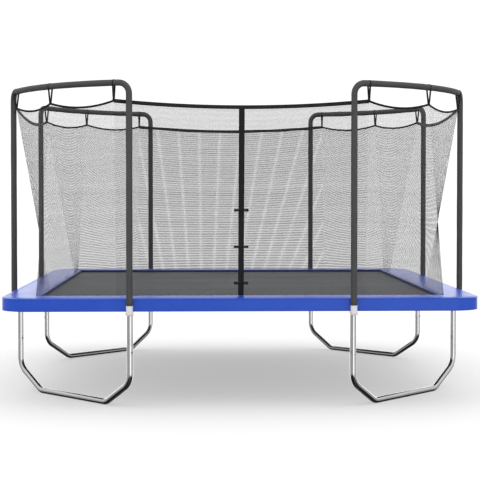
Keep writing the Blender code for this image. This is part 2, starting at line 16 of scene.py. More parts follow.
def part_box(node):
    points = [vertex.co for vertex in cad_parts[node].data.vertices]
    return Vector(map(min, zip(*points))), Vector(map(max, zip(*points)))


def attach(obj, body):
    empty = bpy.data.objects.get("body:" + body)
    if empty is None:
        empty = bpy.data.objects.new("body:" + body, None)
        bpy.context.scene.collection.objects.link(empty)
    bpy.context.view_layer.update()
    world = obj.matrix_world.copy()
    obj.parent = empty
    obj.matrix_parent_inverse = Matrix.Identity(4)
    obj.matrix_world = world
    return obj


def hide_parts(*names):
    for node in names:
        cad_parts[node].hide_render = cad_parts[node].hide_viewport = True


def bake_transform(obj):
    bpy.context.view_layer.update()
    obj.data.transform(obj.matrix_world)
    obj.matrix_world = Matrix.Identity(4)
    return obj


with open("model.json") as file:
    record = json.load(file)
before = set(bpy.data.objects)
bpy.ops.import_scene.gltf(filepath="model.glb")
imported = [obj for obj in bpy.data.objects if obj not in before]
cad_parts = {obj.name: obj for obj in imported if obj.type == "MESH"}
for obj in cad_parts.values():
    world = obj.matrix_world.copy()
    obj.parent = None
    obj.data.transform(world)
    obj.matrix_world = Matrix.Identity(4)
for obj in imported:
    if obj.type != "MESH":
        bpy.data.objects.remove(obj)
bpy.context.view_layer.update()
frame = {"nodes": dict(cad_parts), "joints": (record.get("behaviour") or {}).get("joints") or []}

CORNERS = ("front_left", "front_right", "back_right", "back_left")
SIDES = ("left", "front", "right", "back")


# Places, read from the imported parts


def centre(node):
    low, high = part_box(node)
    return (low + high) / 2


def size(node):
    low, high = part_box(node)
    return high - low


RAIL_HALF = -centre("frame_side_left").x
RAIL_Z = centre("frame_side_left").z
RAIL_JOINT = -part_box("frame_corner_front_left")[1].x
TUBE_R = size("frame_side_left").x / 2
LEG_ALONG = -centre("leg_bolt_front_left_1").y
BOLT_Z = centre("leg_bolt_front_left_1").z
POST_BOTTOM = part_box("frame_corner_front_left")[0].z
HOOP_HALF = -centre("hoop_pole_front_left_1").x
SLEEVE_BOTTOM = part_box("hoop_sleeve_front_left")[0].z
CAP_LOW, CAP_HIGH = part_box("pole_cap_front_left_1")
MAT_LOW, MAT_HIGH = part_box("jump_mat")
PAD_LOW, PAD_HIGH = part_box("safety_pad")
NET_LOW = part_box("net")[0]
DOOR_LOW, DOOR_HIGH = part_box("door_flap")
SPRING_LOW, SPRING_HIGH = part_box("spring_row_left")

# Shapes that the boxes don't give

RAIL_CORNER_R = 0.212
LEG_BEND_Z = 0.212
LEG_BEND_R = 0.15
LEG_FOOT_IN = 0.293
LEG_FOOT_R = 0.12
SLEEVE_R = 0.026
SLEEVE_STEP = 0.006  # between the rings of points along it
SLEEVE_BANDS = (0.012, 0.020)  # stitched rings above each end
ARCH_R = 0.019
HOOP_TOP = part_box("hoop_sleeve_front_left")[1].z - SLEEVE_R
HOOP_BEND_R = 0.09
HOOP_SAGITTA = 0.19
PAD_INNER_HALF = 1.66
PAD_CORNER_R = 0.24
PAD_T = 0.020
APEX_Z = 2.503  # the net's hanging points
APEX_ARC = 0.133  # from a pole to its hanging point, along the hoop
SIDE_SAG = 0.075
END_SAG = 0.05
CORNER_SAG = 0.043
NET_BASE_HALF = 1.70
NET_SIDE_HALF = 1.668  # where the left, right and back nets stand, drawn in between the corners
DOOR_HALF = 0.0235
HEM_R = 0.006
SPRINGS_PER_SIDE = 20
SPRING_ROW_HALF = 1.60
TUBE_SIDES = 32
LIP = 0.0012  # how far a tube's cut end is rounded
STITCH_R = 0.0004
TAPE_T = 0.0030
STITCH_FACES = (-0.0016, 0.0016)  # from a tape's middle to its stitches
TOP_TAPE_WIDTH = 0.030
EDGING_WIDTH = 0.011
MAT_HEM_WIDTH = 0.046
ZIP_TAPE_T = MAT_HEM_T = 0.0016

LEG_A = Vector((-RAIL_HALF, -LEG_ALONG, 0))
LEG_B = Vector((-LEG_ALONG, -RAIL_HALF, 0))
LEG_RUN = (LEG_B - LEG_A).normalized()
X_AXIS, Y_AXIS, UP = Vector((1, 0, 0)), Vector((0, 1, 0)), Vector((0, 0, 1))
ACROSS_CORNER = Vector((-1, -1, 0))  # level, out over the front-left corner


# Mesh building


class Shape:
    """Vertices and faces of one piece, with weave coordinates in metres on every face corner."""

    def __init__(self):
        self.verts, self.faces, self.weave = [], [], []

    def add(self, verts, faces, weave=None):
        base = len(self.verts)
        self.verts.extend(tuple(v) for v in verts)
        self.faces.extend(tuple(base + i for i in face) for face in faces)
        self.weave.extend(weave or [[(0, 0)] * len(face) for face in faces])

    def join(self, other, matrix=None):
        verts = [matrix @ Vector(v) for v in other.verts] if matrix else other.verts
        self.add(verts, other.faces, other.weave)

    def grid(self, rows, closed=False, widths=None, lengths=None, flip=False):
        """Quads between rows of points. closed joins each row's last point to its first."""
        count = len(rows[0])
        around = count if closed else count - 1
        widths = widths or [k * 0.01 for k in range(around + 1)]
        lengths = lengths or [i * 0.01 for i in range(len(rows))]
        faces, weave = [], []
        for i in range(len(rows) - 1):
            for k in range(around):
                m = (k + 1) % count
                face = [i * count + k, i * count + m, (i + 1) * count + m, (i + 1) * count + k]
                mark = [(widths[k], lengths[i]), (widths[k + 1], lengths[i]),
                        (widths[k + 1], lengths[i + 1]), (widths[k], lengths[i + 1])]
                faces.append(face[::-1] if flip else face)
                weave.append(mark[::-1] if flip else mark)
        self.add([p for row in rows for p in row], faces, weave)

    def mesh(self, name, crease=35):
        mesh = bpy.data.meshes.new(name)
        mesh.from_pydata(self.verts, [], self.faces)
        layer = mesh.uv_layers.new(name="weave")
        flat = np.array([xy for face in self.weave for xy in face], np.float32)
        layer.data.foreach_set("uv", flat.ravel())
        mesh.validate()
        mesh.shade_smooth()
        mesh.set_sharp_from_angle(angle=radians(crease))
        return mesh


def piece(name, shape, look, replaced=(), body="frame", crease=35):
    """Links a shape as a finished piece that rides on a body, or on none."""
    mesh = shape.mesh(name, crease) if isinstance(shape, Shape) else shape
    mesh.materials.clear()
    mesh.materials.append(look)
    ob = bpy.data.objects.new(name, mesh)
    bpy.context.scene.collection.objects.link(ob)
    if body:
        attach(ob, body)
    if replaced:
        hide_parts(*replaced)
    return ob


def quarter_turn(k):
    return Matrix.Rotation(k * pi / 2, 4, "Z")


def four_pieces(pattern, shape, look, nodes=(), names=CORNERS, body="frame", crease=35):
    """The same shape at all four corners or sides. Patterns hold {} for the place's name."""
    made = []
    base = shape.mesh(pattern.format("base"), crease)
    for k, where in enumerate(names):
        mesh = base.copy()
        mesh.name = pattern.format(where)
        mesh.transform(quarter_turn(k))
        replaced = [node.format(where) for node in nodes]
        made.append(piece(pattern.format(where), mesh, look, replaced, body))
    return made


def merge_doubles(mesh, distance, outward=False):
    """Joins vertices that lie closer than the distance, and may turn every face outwards."""
    bm = bmesh.new()
    bm.from_mesh(mesh)
    bmesh.ops.remove_doubles(bm, verts=bm.verts, dist=distance)
    if outward:
        bmesh.ops.recalc_face_normals(bm, faces=bm.faces)
    bm.to_mesh(mesh)
    bm.free()


def circle(middle, radius, count, first=X_AXIS, second=Y_AXIS):
    """Points round a circle, from the first direction towards the second."""
    angles = [k * 2 * pi / count for k in range(count)]
    return [middle + (first * cos(a) + second * sin(a)) * radius for a in angles]


def frames_along(path, across, closed=False):
    """For each path point, the run there and two side vectors, without needless twist."""
    result = []
    count = len(path)
    side = Vector(across).normalized()
    for i, point in enumerate(path):
        before = path[i - 1] if i or closed else point
        after = path[(i + 1) % count] if i + 1 < count or closed else point
        run = (after - before).normalized()
        side = (side - run * side.dot(run)).normalized()
        result.append((point, run, side.copy(), run.cross(side)))
    return result


def distances(path):
    """How far along the path each point is."""
    total = [0.0]
    for a, b in zip(path, path[1:]):
        total.append(total[-1] + (b - a).length)
    return total


def tube(shape, path, radii, sides=24, across=UP, caps=True, bulge=None):
    """A round tube along a path. bulge(distance, angle) adds to the radius."""
    path = [Vector(p) for p in path]
    radii = radii if hasattr(radii, "__len__") else [radii] * len(path)
    along = distances(path)
    rows = []
    for (point, _, u, v), radius, s in zip(frames_along(path, across), radii, along):
        row = []
        for k in range(sides):
            a = k * 2 * pi / sides
            r = radius + (bulge(s, a) if bulge else 0)
            row.append(point + (u * cos(a) + v * sin(a)) * r)
        rows.append(row)
    girth = 2 * pi * max(radii)
    shape.grid(rows, True, [k * girth / sides for k in range(sides + 1)], along)
    if caps:
        for row, order in ((rows[0], -1), (rows[-1], 1)):
            shape.add(row, [list(range(sides))[::order]])


def ring_tube(shape, path, radius, sides=10, across=UP):
    """A round bar bent into a closed loop."""
    frames = frames_along([Vector(p) for p in path], across, closed=True)
    rows = [circle(point, radius, sides, u, v) for point, _, u, v in frames]
    shape.grid(rows + rows[:1], True)


def lathe(shape, profile, place, axis=UP, sides=32):
    """Turned solid. The profile lists (height, radius) from one end to the other."""
    axis = Vector(axis).normalized()
    side = axis.orthogonal().normalized()
    other = axis.cross(side)
    rows = [circle(Vector(place) + axis * height, radius, sides, side, other) for height, radius in profile]
    lengths = distances([Vector(point) for point in profile])
    girth = 2 * pi * max(r for _, r in profile)
    shape.grid(rows, True, [k * girth / sides for k in range(sides + 1)], lengths)
    shape.add(rows[0], [list(range(sides))[::-1]])
    shape.add(rows[-1], [list(range(sides))])


def strap(shape, path, widths, thickness, normals, edge=0.3):
    """Flat webbing along a path: rounded edges, its width square to the normals."""
    path = [Vector(p) for p in path]
    widths = widths if hasattr(widths, "__len__") else [widths] * len(path)
    along = distances(path)
    rows = []
    for i, (point, width) in enumerate(zip(path, widths)):
        run = (path[min(i + 1, len(path) - 1)] - path[max(i - 1, 0)]).normalized()
        normal = (normals[i] - run * normals[i].dot(run)).normalized()
        side = run.cross(normal)
        half, h = width / 2, thickness / 2
        inset = half - edge * thickness
        outline = [(-half, 0), (-inset, -h), (0, -h), (inset, -h),
                   (half, 0), (inset, h), (0, h), (-inset, h)]
        rows.append([point + side * a + normal * b for a, b in outline])
    marks = [0, 0.001, max(widths) / 2, max(widths) - 0.001, max(widths)]
    marks += [max(widths) + m for m in marks[1:]]
    shape.grid(rows, True, marks, along, flip=True)
    shape.add(rows[0], [list(range(8))])
    shape.add(rows[-1], [list(range(8))[::-1]])


def rounded_box(shape, low, high, radius=0.001, matrix=None):
    """A box with bevelled edges."""
    bm = bmesh.new()
    bmesh.ops.create_cube(bm, size=1)
    low, high = Vector(low), Vector(high)
    span = high - low
    bmesh.ops.scale(bm, vec=span, verts=bm.verts)
    bmesh.ops.translate(bm, vec=(low + high) / 2, verts=bm.verts)
    radius = min(radius, min(span) * 0.45)
    bmesh.ops.bevel(bm, geom=bm.edges, offset=radius, segments=2, profile=0.5, affect="EDGES")
    take_bmesh(shape, bm, matrix)


def take_bmesh(shape, bm, matrix=None):
    """Adds a bmesh, with its weave coordinates from the two widest directions."""
    if matrix:
        bmesh.ops.transform(bm, matrix=matrix, verts=bm.verts)
    bm.verts.index_update()
    verts = [v.co.copy() for v in bm.verts]
    faces = [[v.index for v in f.verts] for f in bm.faces]
    shape.add(verts, faces, [[(verts[i].x, verts[i].z) for i in face] for face in faces])
    bm.free()


def plate(shape, outline, low, high, bevel=0.001, matrix=None):
    """An outline of (x, y) points raised from low to high, with bevelled rims."""
    bm = bmesh.new()
    floor = [bm.verts.new((x, y, low)) for x, y in outline]
    face = bm.faces.new(floor)
    raised = bmesh.ops.extrude_face_region(bm, geom=[face])["geom"]
    moved = [g for g in raised if isinstance(g, bmesh.types.BMVert)]
    bmesh.ops.translate(bm, vec=(0, 0, high - low), verts=moved)
    bmesh.ops.recalc_face_normals(bm, faces=bm.faces)
    rims = [e for e in bm.edges if abs(e.verts[0].co.z - e.verts[1].co.z) < 1e-6]
    bmesh.ops.bevel(bm, geom=rims, offset=bevel, segments=2, profile=0.5, affect="EDGES")
    take_bmesh(shape, bm, matrix)


def filleted(points, radius, steps):
    """A path whose inner corners are arcs of the given radius."""
    path = [points[0]]
    for before, corner, after in zip(points, points[1:], points[2:]):
        a = (before - corner).normalized()
        b = (after - corner).normalized()
        half_angle = acos(max(-1.0, min(1.0, a.dot(b)))) / 2
        centre_point = corner + (a + b).normalized() * (radius / sin(half_angle))
        start = corner + a * (radius / tan(half_angle)) - centre_point
        end = corner + b * (radius / tan(half_angle)) - centre_point
        turn = start.rotation_difference(end)
        for step in range(steps + 1):
            part = Matrix.Rotation(turn.angle * step / steps, 3, turn.axis)
            path.append(centre_point + part @ start)
    path.append(points[-1])
    return path


def wobble(*seeds):
    """A smooth, repeatable ripple between -1 and 1 along a distance."""
    waves = [(0.9 + 0.37 * ((seed * 7) % 5), (seed * 2.399) % (2 * pi)) for seed in seeds]
    return lambda s: sum(sin(s * rate * 2 * pi + phase) for rate, phase in waves) / len(waves)


# Materials


class Nodes:
    """Short calls for a node tree. A value that is a socket is linked, and any other one is set."""

    def __init__(self, tree):
        self.tree = tree

    def set(self, socket, value):
        if isinstance(value, bpy.types.NodeSocket):
            self.tree.links.new(value, socket)
        else:
            socket.default_value = value

    def node(self, kind, **values):
        made = self.tree.nodes.new(f"ShaderNode{kind}")
        for key, value in values.items():
            if hasattr(made, key):
                setattr(made, key, value)
            else:
                self.set(made.inputs[key.replace("_", " ")], value)
        return made

    def combined(self, kind, operation, *operands):
        """A Math or VectorMath node on one or two operands."""
        made = self.node(kind, operation=operation)
        for socket, value in zip(made.inputs, operands):
            self.set(socket, value)
        return made

    def math(self, operation, a, b):
        return self.combined("Math", operation, a, b).outputs[0]

    def between(self, value, low, high, start=0.0, end=1.0, **options):
        """Low at start, high at end, and held past them."""
        values = {"From_Min": start, "From_Max": end, "To_Min": low, "To_Max": high}
        return self.node("MapRange", Value=value, **values, **options).outputs["Result"]


class Look(Nodes):
    """A procedural material for the pieces that use it."""

    def __init__(self, name, colour, roughness, metallic=0.0, slot=None, **sockets):
        self.material = bpy.data.materials.new(name)
        self.material.use_nodes = True
        super().__init__(self.material.node_tree)
        self.shader = self.tree.nodes["Principled BSDF"]
        sockets.update(Base_Color=(*colour, 1), Roughness=roughness, Metallic=metallic)
        for socket, value in sockets.items():
            self.shader.inputs[socket.replace("_", " ")].default_value = value

    def where(self, weave=False, scale=(1, 1, 1)):
        """Coordinates in metres: along the cloth where it has a weave, or else in the row frame."""
        if weave:
            source = self.node("UVMap", uv_map="weave").outputs["UV"]
        else:
            source = self.node("TexCoord").outputs["Object"]
        return self.node("Mapping", Vector=source, Scale=scale).outputs["Vector"]

    def noise(self, where, scale, detail):
        return self.node("TexNoise", Vector=where, Scale=scale, Detail=detail).outputs["Fac"]

    def stripes(self, where, per_metre, axis="X"):
        """A sine from 0 to 1 that repeats so many times in a metre."""
        wave = self.node("TexWave", bands_direction=axis, Vector=where, Scale=per_metre * pi / 10)
        return wave.outputs["Fac"]

    def mixed(self, share, first, second):
        made = self.node("Mix", data_type="RGBA")
        for socket, value in (("Factor", share), ("A", first), ("B", second)):
            self.set(made.inputs[socket], (*value, 1) if isinstance(value, tuple) else value)
        return made.outputs["Result"]

    def colour(self, socket):
        self.set(self.shader.inputs["Base Color"], socket)

    def roughness(self, socket):
        self.set(self.shader.inputs["Roughness"], socket)

    def bump(self, height, distance, strength=1.0):
        """Adds relief. distance is how deep the height's full range is, in metres."""
        made = self.node("Bump", Height=height, Distance=distance, Strength=strength)
        normal = self.shader.inputs["Normal"]
        if normal.links:
            self.set(made.inputs["Normal"], normal.links[0].from_socket)
        self.set(normal, made.outputs["Normal"])


def cloudy(look, scale, dark, pale, smooth, rough, grain, depth):
    """Clouds in the colour and the gloss over a fine even grain, as on plated and moulded things."""
    where = look.where()
    cloud = look.noise(where, scale, 4)
    look.colour(look.mixed(cloud, dark, pale))
    look.roughness(look.between(cloud, smooth, rough))
    look.bump(look.noise(where, grain, 2), depth, 0.5)
    return look.material


def plain_weave(look, where, threads):
    """Height of a plain weave: warp over weft in turn, so many threads to the metre."""
    warp = look.stripes(where, threads, "X")
    weft = look.stripes(where, threads, "Y")
    over = look.node("TexChecker", Vector=where, Scale=threads).outputs["Fac"]
    both = look.node("Mix", data_type="FLOAT", Factor=over, A=warp, B=weft)
    return both.outputs["Result"]


def steel_look():
    """Bright galvanised tube: fine spangle, drawing lines and a little dulling."""
    look = Look("galvanised_steel", (0.68, 0.68, 0.69), 0.14, 1.0)
    where = look.where()
    spangle = look.node("TexVoronoi", Vector=where, Scale=90).outputs["Distance"]
    cloud = look.noise(where, 7, 4)
    shade = look.math("ADD", look.math("MULTIPLY", spangle, 0.25), look.math("MULTIPLY", cloud, 0.75))
    look.colour(look.mixed(look.between(shade, 0, 1, 0.25, 0.75), (0.62, 0.62, 0.635), (0.74, 0.74, 0.75)))
    look.roughness(look.between(shade, 0.17, 0.10, 0.2, 0.8))
    look.bump(look.noise(where, 260, 3), 0.00002, 0.3)
    return look.material


def zinc_look():
    """Zinc-plated bolts and fittings: slightly yellow and matt."""
    look = Look("zinc_hardware", (0.5, 0.49, 0.46), 0.32, 1.0)
    return cloudy(look, 120, (0.40, 0.40, 0.39), (0.66, 0.64, 0.58), 0.22, 0.42, 900, 0.00008)


def spring_look():
    """Galvanised spring wire, dull grey with brighter rubbed spots."""
    look = Look("spring_steel", (0.5, 0.5, 0.52), 0.35, 1.0)
    return cloudy(look, 60, (0.34, 0.35, 0.37), (0.70, 0.70, 0.72), 0.24, 0.46, 700, 0.0001)


def sleeve_look():
    """Charcoal polyester cover of the foam sleeves: fine weave, soft sheen, faint rubbing."""
    look = Look("grey_sleeve", (0.036, 0.036, 0.036), 0.62, Specular_IOR_Level=0.35)
    where, cloth = look.where(), look.where(weave=True)
    cloud = look.noise(where, 9, 5)
    weave = plain_weave(look, cloth, 700)
    base = look.mixed(cloud, (0.028, 0.028, 0.028), (0.042, 0.042, 0.042))
    look.colour(look.mixed(look.math("MULTIPLY", weave, 0.45), base, (0.060, 0.060, 0.060)))
    look.roughness(look.between(cloud, 0.52, 0.70))
    look.bump(weave, 0.0004, 0.5)
    look.bump(look.noise(where, 55, 3), 0.0012, 0.35)
    return look.material


def cap_look():
    """White moulded polypropylene with a fine spark-eroded grain."""
    look = Look("white_cap", (0.50, 0.50, 0.51), 0.3,
                Subsurface_Weight=0.08, Subsurface_Radius=(0.004,) * 3)
    return cloudy(look, 30, (0.47, 0.47, 0.48), (0.54, 0.54, 0.545), 0.24, 0.38, 1400, 0.00015)


def mat_look():
    """Woven black polypropylene: flat tapes over and under, with paler worn threads."""
    look = Look("black_mat", (0.055, 0.056, 0.06), 0.55)
    cloth, where = look.where(weave=True), look.where()
    weave = plain_weave(look, cloth, 420)
    cloud = look.noise(where, 1.6, 5)
    rows = look.noise(look.where(weave=True, scale=(1, 60, 1)), 4, 3)
    base = look.mixed(cloud, (0.026, 0.028, 0.029), (0.039, 0.041, 0.042))
    shade = look.mixed(look.math("MULTIPLY", rows, 0.5), base, (0.054, 0.057, 0.058))
    look.colour(look.mixed(look.math("MULTIPLY", weave, 0.35), shade, (0.070, 0.073, 0.074)))
    look.roughness(look.between(cloud, 0.48, 0.66))
    look.bump(weave, 0.0006, 0.6)
    return look.material


def pvc_look(name, deep, pale, lining=None):
    """Coated tarpaulin: a scrim that shows through the coat, fine grain and a satin gloss. Past the
    distance in lining along its width, the cloth is the pad's black underside."""
    look = Look(name, deep, 0.30, slot="blue_pvc", Specular_IOR_Level=0.29)
    cloth, where = look.where(weave=True), look.where()
    scrim = plain_weave(look, cloth, 330)
    cloud = look.noise(where, 3, 5)
    share = look.math("ADD", look.math("MULTIPLY", cloud, 0.8), look.math("MULTIPLY", scrim, 0.2))
    shade = look.mixed(share, deep, pale)
    if lining:
        across = look.node("SeparateXYZ", Vector=cloth).outputs["X"]
        under = look.math("GREATER_THAN", across, lining)
        shade = look.mixed(under, shade, look.mixed(cloud, (0.012, 0.012, 0.013), (0.022, 0.022, 0.024)))
    look.colour(shade)
    look.roughness(look.between(cloud, 0.25, 0.34))
    look.bump(scrim, 0.00025, 0.3)
    look.bump(look.noise(where, 14, 3), 0.0010, 0.16)
    return look.material


def net_look():
    """Knotless polyethylene twine."""
    look = Look("net_mesh", (0.018, 0.018, 0.020), 0.6)
    where = look.where()
    cloud = look.noise(where, 420, 2)
    look.colour(look.mixed(cloud, (0.012, 0.012, 0.012), (0.030, 0.030, 0.030)))
    look.roughness(look.between(cloud, 0.5, 0.72))
    look.bump(cloud, 0.0002, 0.6)
    return look.material


def webbing_look(name, slot, dark, pale):
    """Polyester webbing: ribs along it and small diagonal picks."""
    look = Look(name, dark, 0.6, slot=slot, Specular_IOR_Level=0.2)
    cloth, where = look.where(weave=True), look.where()
    ribs = look.stripes(cloth, 520)
    picks = look.stripes(cloth, 380, "DIAGONAL")
    height = look.math("ADD", look.math("MULTIPLY", ribs, 0.6), look.math("MULTIPLY", picks, 0.4))
    look.colour(look.mixed(look.math("MULTIPLY", height, look.noise(where, 14, 4)), dark, pale))
    look.roughness(look.between(height, 0.7, 0.5))
    look.bump(height, 0.0005, 0.6)
    return look.material


def plastic_look():
    """Black moulded acetal with a fine grain."""
    look = Look("black_plastic", (0.007, 0.007, 0.007), 0.42, Specular_IOR_Level=0.2)
    return cloudy(look, 80, (0.004, 0.004, 0.004), (0.010, 0.010, 0.011), 0.28, 0.48, 1600, 0.00012)


def thread_look():
    """Pale grey sewing thread."""
    look = Look("sewing_thread", (0.35, 0.36, 0.38), 0.6, slot="black_webbing")
    twist = look.stripes(look.where(), 900, "DIAGONAL")
    look.colour(look.mixed(twist, (0.22, 0.23, 0.25), (0.48, 0.49, 0.52)))
    look.bump(twist, 0.0002, 0.6)
    return look.material


STEEL, ZINC, SPRING = steel_look(), zinc_look(), spring_look()
SLEEVE, CAP, MAT = sleeve_look(), cap_look(), mat_look()
NET, PLASTIC, THREAD = net_look(), plastic_look(), thread_look()
WEBBING = webbing_look("black_webbing", "black_webbing", (0.006, 0.006, 0.006), (0.020, 0.020, 0.020))
# The binding round the pad's opening is partly its own dark navy and partly painted shade: its darkness
# stands in for the shadow gap between the pad and the mat.
DARK_BINDING_AND_PAINTED_SHADE = webbing_look("dark_binding_and_painted_shade", "blue_pvc", (0.012, 0.017, 0.066), (0.026, 0.034, 0.120))
BLUE_BINDING = pvc_look("blue_binding", (0.007, 0.040, 0.28), (0.012, 0.058, 0.36))


# Frame: rails, sockets, legs and bolts


def corner_rail_path():
    """Centre line of the front-left rail corner, from the left side to the front."""
    corner = Vector((-RAIL_HALF, -RAIL_HALF, 0))
    bend = filleted([LEG_A, corner, LEG_B], RAIL_CORNER_R, 16)
    left, front = Vector((-RAIL_HALF, -RAIL_JOINT, 0)), Vector((-RAIL_JOINT, -RAIL_HALF, 0))
    return [p + UP * RAIL_Z for p in (left, *bend, front)]


def weld_bead(shape, leg, along):
    """A rippled fillet where a leg socket meets the rail above it."""
    across = along.cross(UP)
    out, steps, ripples = TUBE_R * 1.02, 72, 36
    path = circle(leg, out + 0.0012, steps, across, along)
    for step, point in enumerate(path):
        a = step * 2 * pi / steps
        point.z = RAIL_Z - 0.002 - out * abs(sin(a)) * 0.98 + 0.0006 * sin(a * ripples)
    ring_tube(shape, path, 0.0032, 8)


def frame_corners():
    shape = Shape()
    tube(shape, corner_rail_path(), TUBE_R, TUBE_SIDES)
    for leg, along in ((LEG_A, Y_AXIS), (LEG_B, X_AXIS)):
        top, bottom = leg + UP * RAIL_Z, leg + UP * POST_BOTTOM
        path = [bottom, bottom + UP * LIP, bottom + UP * 0.05, top]
        tube(shape, path, [TUBE_R - LIP, TUBE_R, TUBE_R, TUBE_R], TUBE_SIDES, LEG_RUN)
        weld_bead(shape, leg, along)
    four_pieces("rail_corner_{}", shape, STEEL, ["frame_corner_{}"])


def frame_sides():
    shape = Shape()
    reach, lip = RAIL_JOINT - 0.0006, 0.001
    stops = ((-reach, lip), (-reach + lip, 0), (reach - lip, 0), (reach, lip))
    line = [Vector((-RAIL_HALF, y, RAIL_Z)) for y, _ in stops]
    tube(shape, line, [TUBE_R - cut for _, cut in stops], TUBE_SIDES)
    for end in (-1, 1):
        band = [Vector((-RAIL_HALF, end * (reach + s), RAIL_Z)) for s in (-0.004, 0.012)]
        tube(shape, band, TUBE_R - 0.0016, TUBE_SIDES)
    four_pieces("rail_side_{}", shape, STEEL, ["frame_side_{}"], SIDES)


def leg_path():
    """Centre line of the front-left leg, from under its left socket round to its front one."""
    inward, foot = LEG_RUN * LEG_FOOT_IN, UP * TUBE_R
    top, bend = UP * (POST_BOTTOM - 0.0006), UP * LEG_BEND_Z
    left = filleted([LEG_A + top, LEG_A + bend, LEG_A + inward + foot], LEG_BEND_R, 12)
    right = filleted([LEG_B - inward + foot, LEG_B + bend, LEG_B + top], LEG_BEND_R, 12)
    feet = filleted([left[-2], left[-1], right[0], right[1]], LEG_FOOT_R, 12)
    return left[:-2] + feet + right[2:]


def legs():
    shape = Shape()
    path = leg_path()
    ends = [path[0], path[0] - UP * LIP, *path[1:-1], path[-1] - UP * LIP, path[-1]]
    tube(shape, ends, [TUBE_R - LIP, *[TUBE_R] * (len(ends) - 2), TUBE_R - LIP], TUBE_SIDES, LEG_RUN)
    for end in (path[0], path[-1]):
        spigot = UP * 0.004  # the narrower end that goes up into the socket
        tube(shape, [end - spigot, end + spigot], TUBE_R - 0.002, TUBE_SIDES, LEG_RUN)
    four_pieces("leg_{}", shape, STEEL, ["leg_base_{}"])


def hex_prism(shape, place, axis, radius, low, high):
    """A hexagon nut or bolt head with chamfered corners."""
    chamfer, end = (high - low) * 0.2, radius * 0.88
    profile = [(low, end), (low + chamfer, radius), (high - chamfer, radius), (high, end)]
    lathe(shape, profile, place, axis, 6)


def leg_bolts():
    """Hexagon bolt, washer and domed nut through each socket and leg."""
    for number, leg in enumerate((LEG_A, LEG_B), start=1):
        shape = Shape()
        place = leg + UP * BOLT_Z
        for axis in (-LEG_RUN, LEG_RUN):
            face = TUBE_R - 0.001
            lathe(shape, [(face, 0.0105), (face + 0.0018, 0.0105), (face + 0.0022, 0.0100)], place, axis)
            hex_prism(shape, place, axis, 0.0078, face + 0.002, face + 0.0075)
        dome = [(0.0312, 0.0058), (0.0335, 0.0054), (0.0350, 0.0040), (0.0357, 0.0018)]
        lathe(shape, dome, place, LEG_RUN)
        four_pieces(f"socket_bolt_{{}}_{number}", shape, ZINC, [f"leg_bolt_{{}}_{number}"])


# Hoops: poles, sleeves and caps


def hoop_arc():
    """Centre, radius and end angles of the front-left hoop's top, seen from above."""
    a = Vector((-HOOP_HALF, -LEG_ALONG, 0))
    b = Vector((-LEG_ALONG, -HOOP_HALF, 0))
    half_chord = (b - a).length / 2
    radius = (half_chord**2 + HOOP_SAGITTA**2) / (2 * HOOP_SAGITTA)
    outward = ACROSS_CORNER.normalized()
    middle = (a + b) / 2 - outward * (radius - HOOP_SAGITTA)
    swing = asin(half_chord / radius)
    facing = atan2(outward.y, outward.x)
    return middle, radius, facing - swing, facing + swing


ARC_CENTRE, ARC_R, ARC_START, ARC_END = hoop_arc()
HOOP_LENGTH = ARC_R * (ARC_END - ARC_START)


def hoop_point(along, z):
    """A point of the front-left hoop's top, by its distance along the arc from the left pole."""
    a = ARC_START + along / ARC_R
    return ARC_CENTRE + Vector((cos(a), sin(a), 0)) * ARC_R + UP * z


def hoop_run(along):
    a = ARC_START + along / ARC_R
    return Vector((-sin(a), cos(a), 0))


def resampled(path, step=0.01, count=0):
    """The same path with points at equal distances, about a step apart or so many of them."""
    along = distances(path)
    marks = np.linspace(0, along[-1], (count or round(along[-1] / step)) + 1)
    coords = [np.interp(marks, along, [p[i] for p in path]) for i in range(3)]
    return [Vector(p) for p in zip(*coords)]


def hoop_path(bottom, steps=40):
    """Centre line of the front-left hoop, from the left pole's foot to the front pole's."""
    top = [hoop_point(i * HOOP_LENGTH / steps, HOOP_TOP) for i in range(steps + 1)]
    left, right = top[0], top[-1]
    feet = [Vector((p.x, p.y, bottom)) for p in (left, right)]
    bend = 1.3 * HOOP_BEND_R
    keep = [p for p in top if min((p - left).length, (p - right).length) > bend]
    rise = filleted([feet[0], left, keep[0]], HOOP_BEND_R, 10)
    fall = filleted([keep[-1], right, feet[1]], HOOP_BEND_R, 10)
    return rise[:-1] + keep + fall[1:]


def sleeve_bulge(length):
    """Soft relief of a foam sleeve: long swells, and creases inside the bends."""
    slow, fine = wobble(3, 5, 8), wobble(11, 17, 23)
    bend_at = HOOP_TOP - SLEEVE_BOTTOM

    def bulge(s, angle):
        amount = 0.0004 * slow(s * 1.3) + 0.0003 * sin(2 * angle + 5 * slow(s))
        for middle in (bend_at - 0.01, length - bend_at + 0.01):
            near = max(0.0, 1 - abs(s - middle) / 0.10)
            inner = max(0.0, -cos(angle))
            crease = 0.5 + 0.5 * sin(2 * pi * s / 0.017 + 0.8 * fine(angle))
            amount -= 0.0016 * near * inner * crease
        return amount

    return bulge


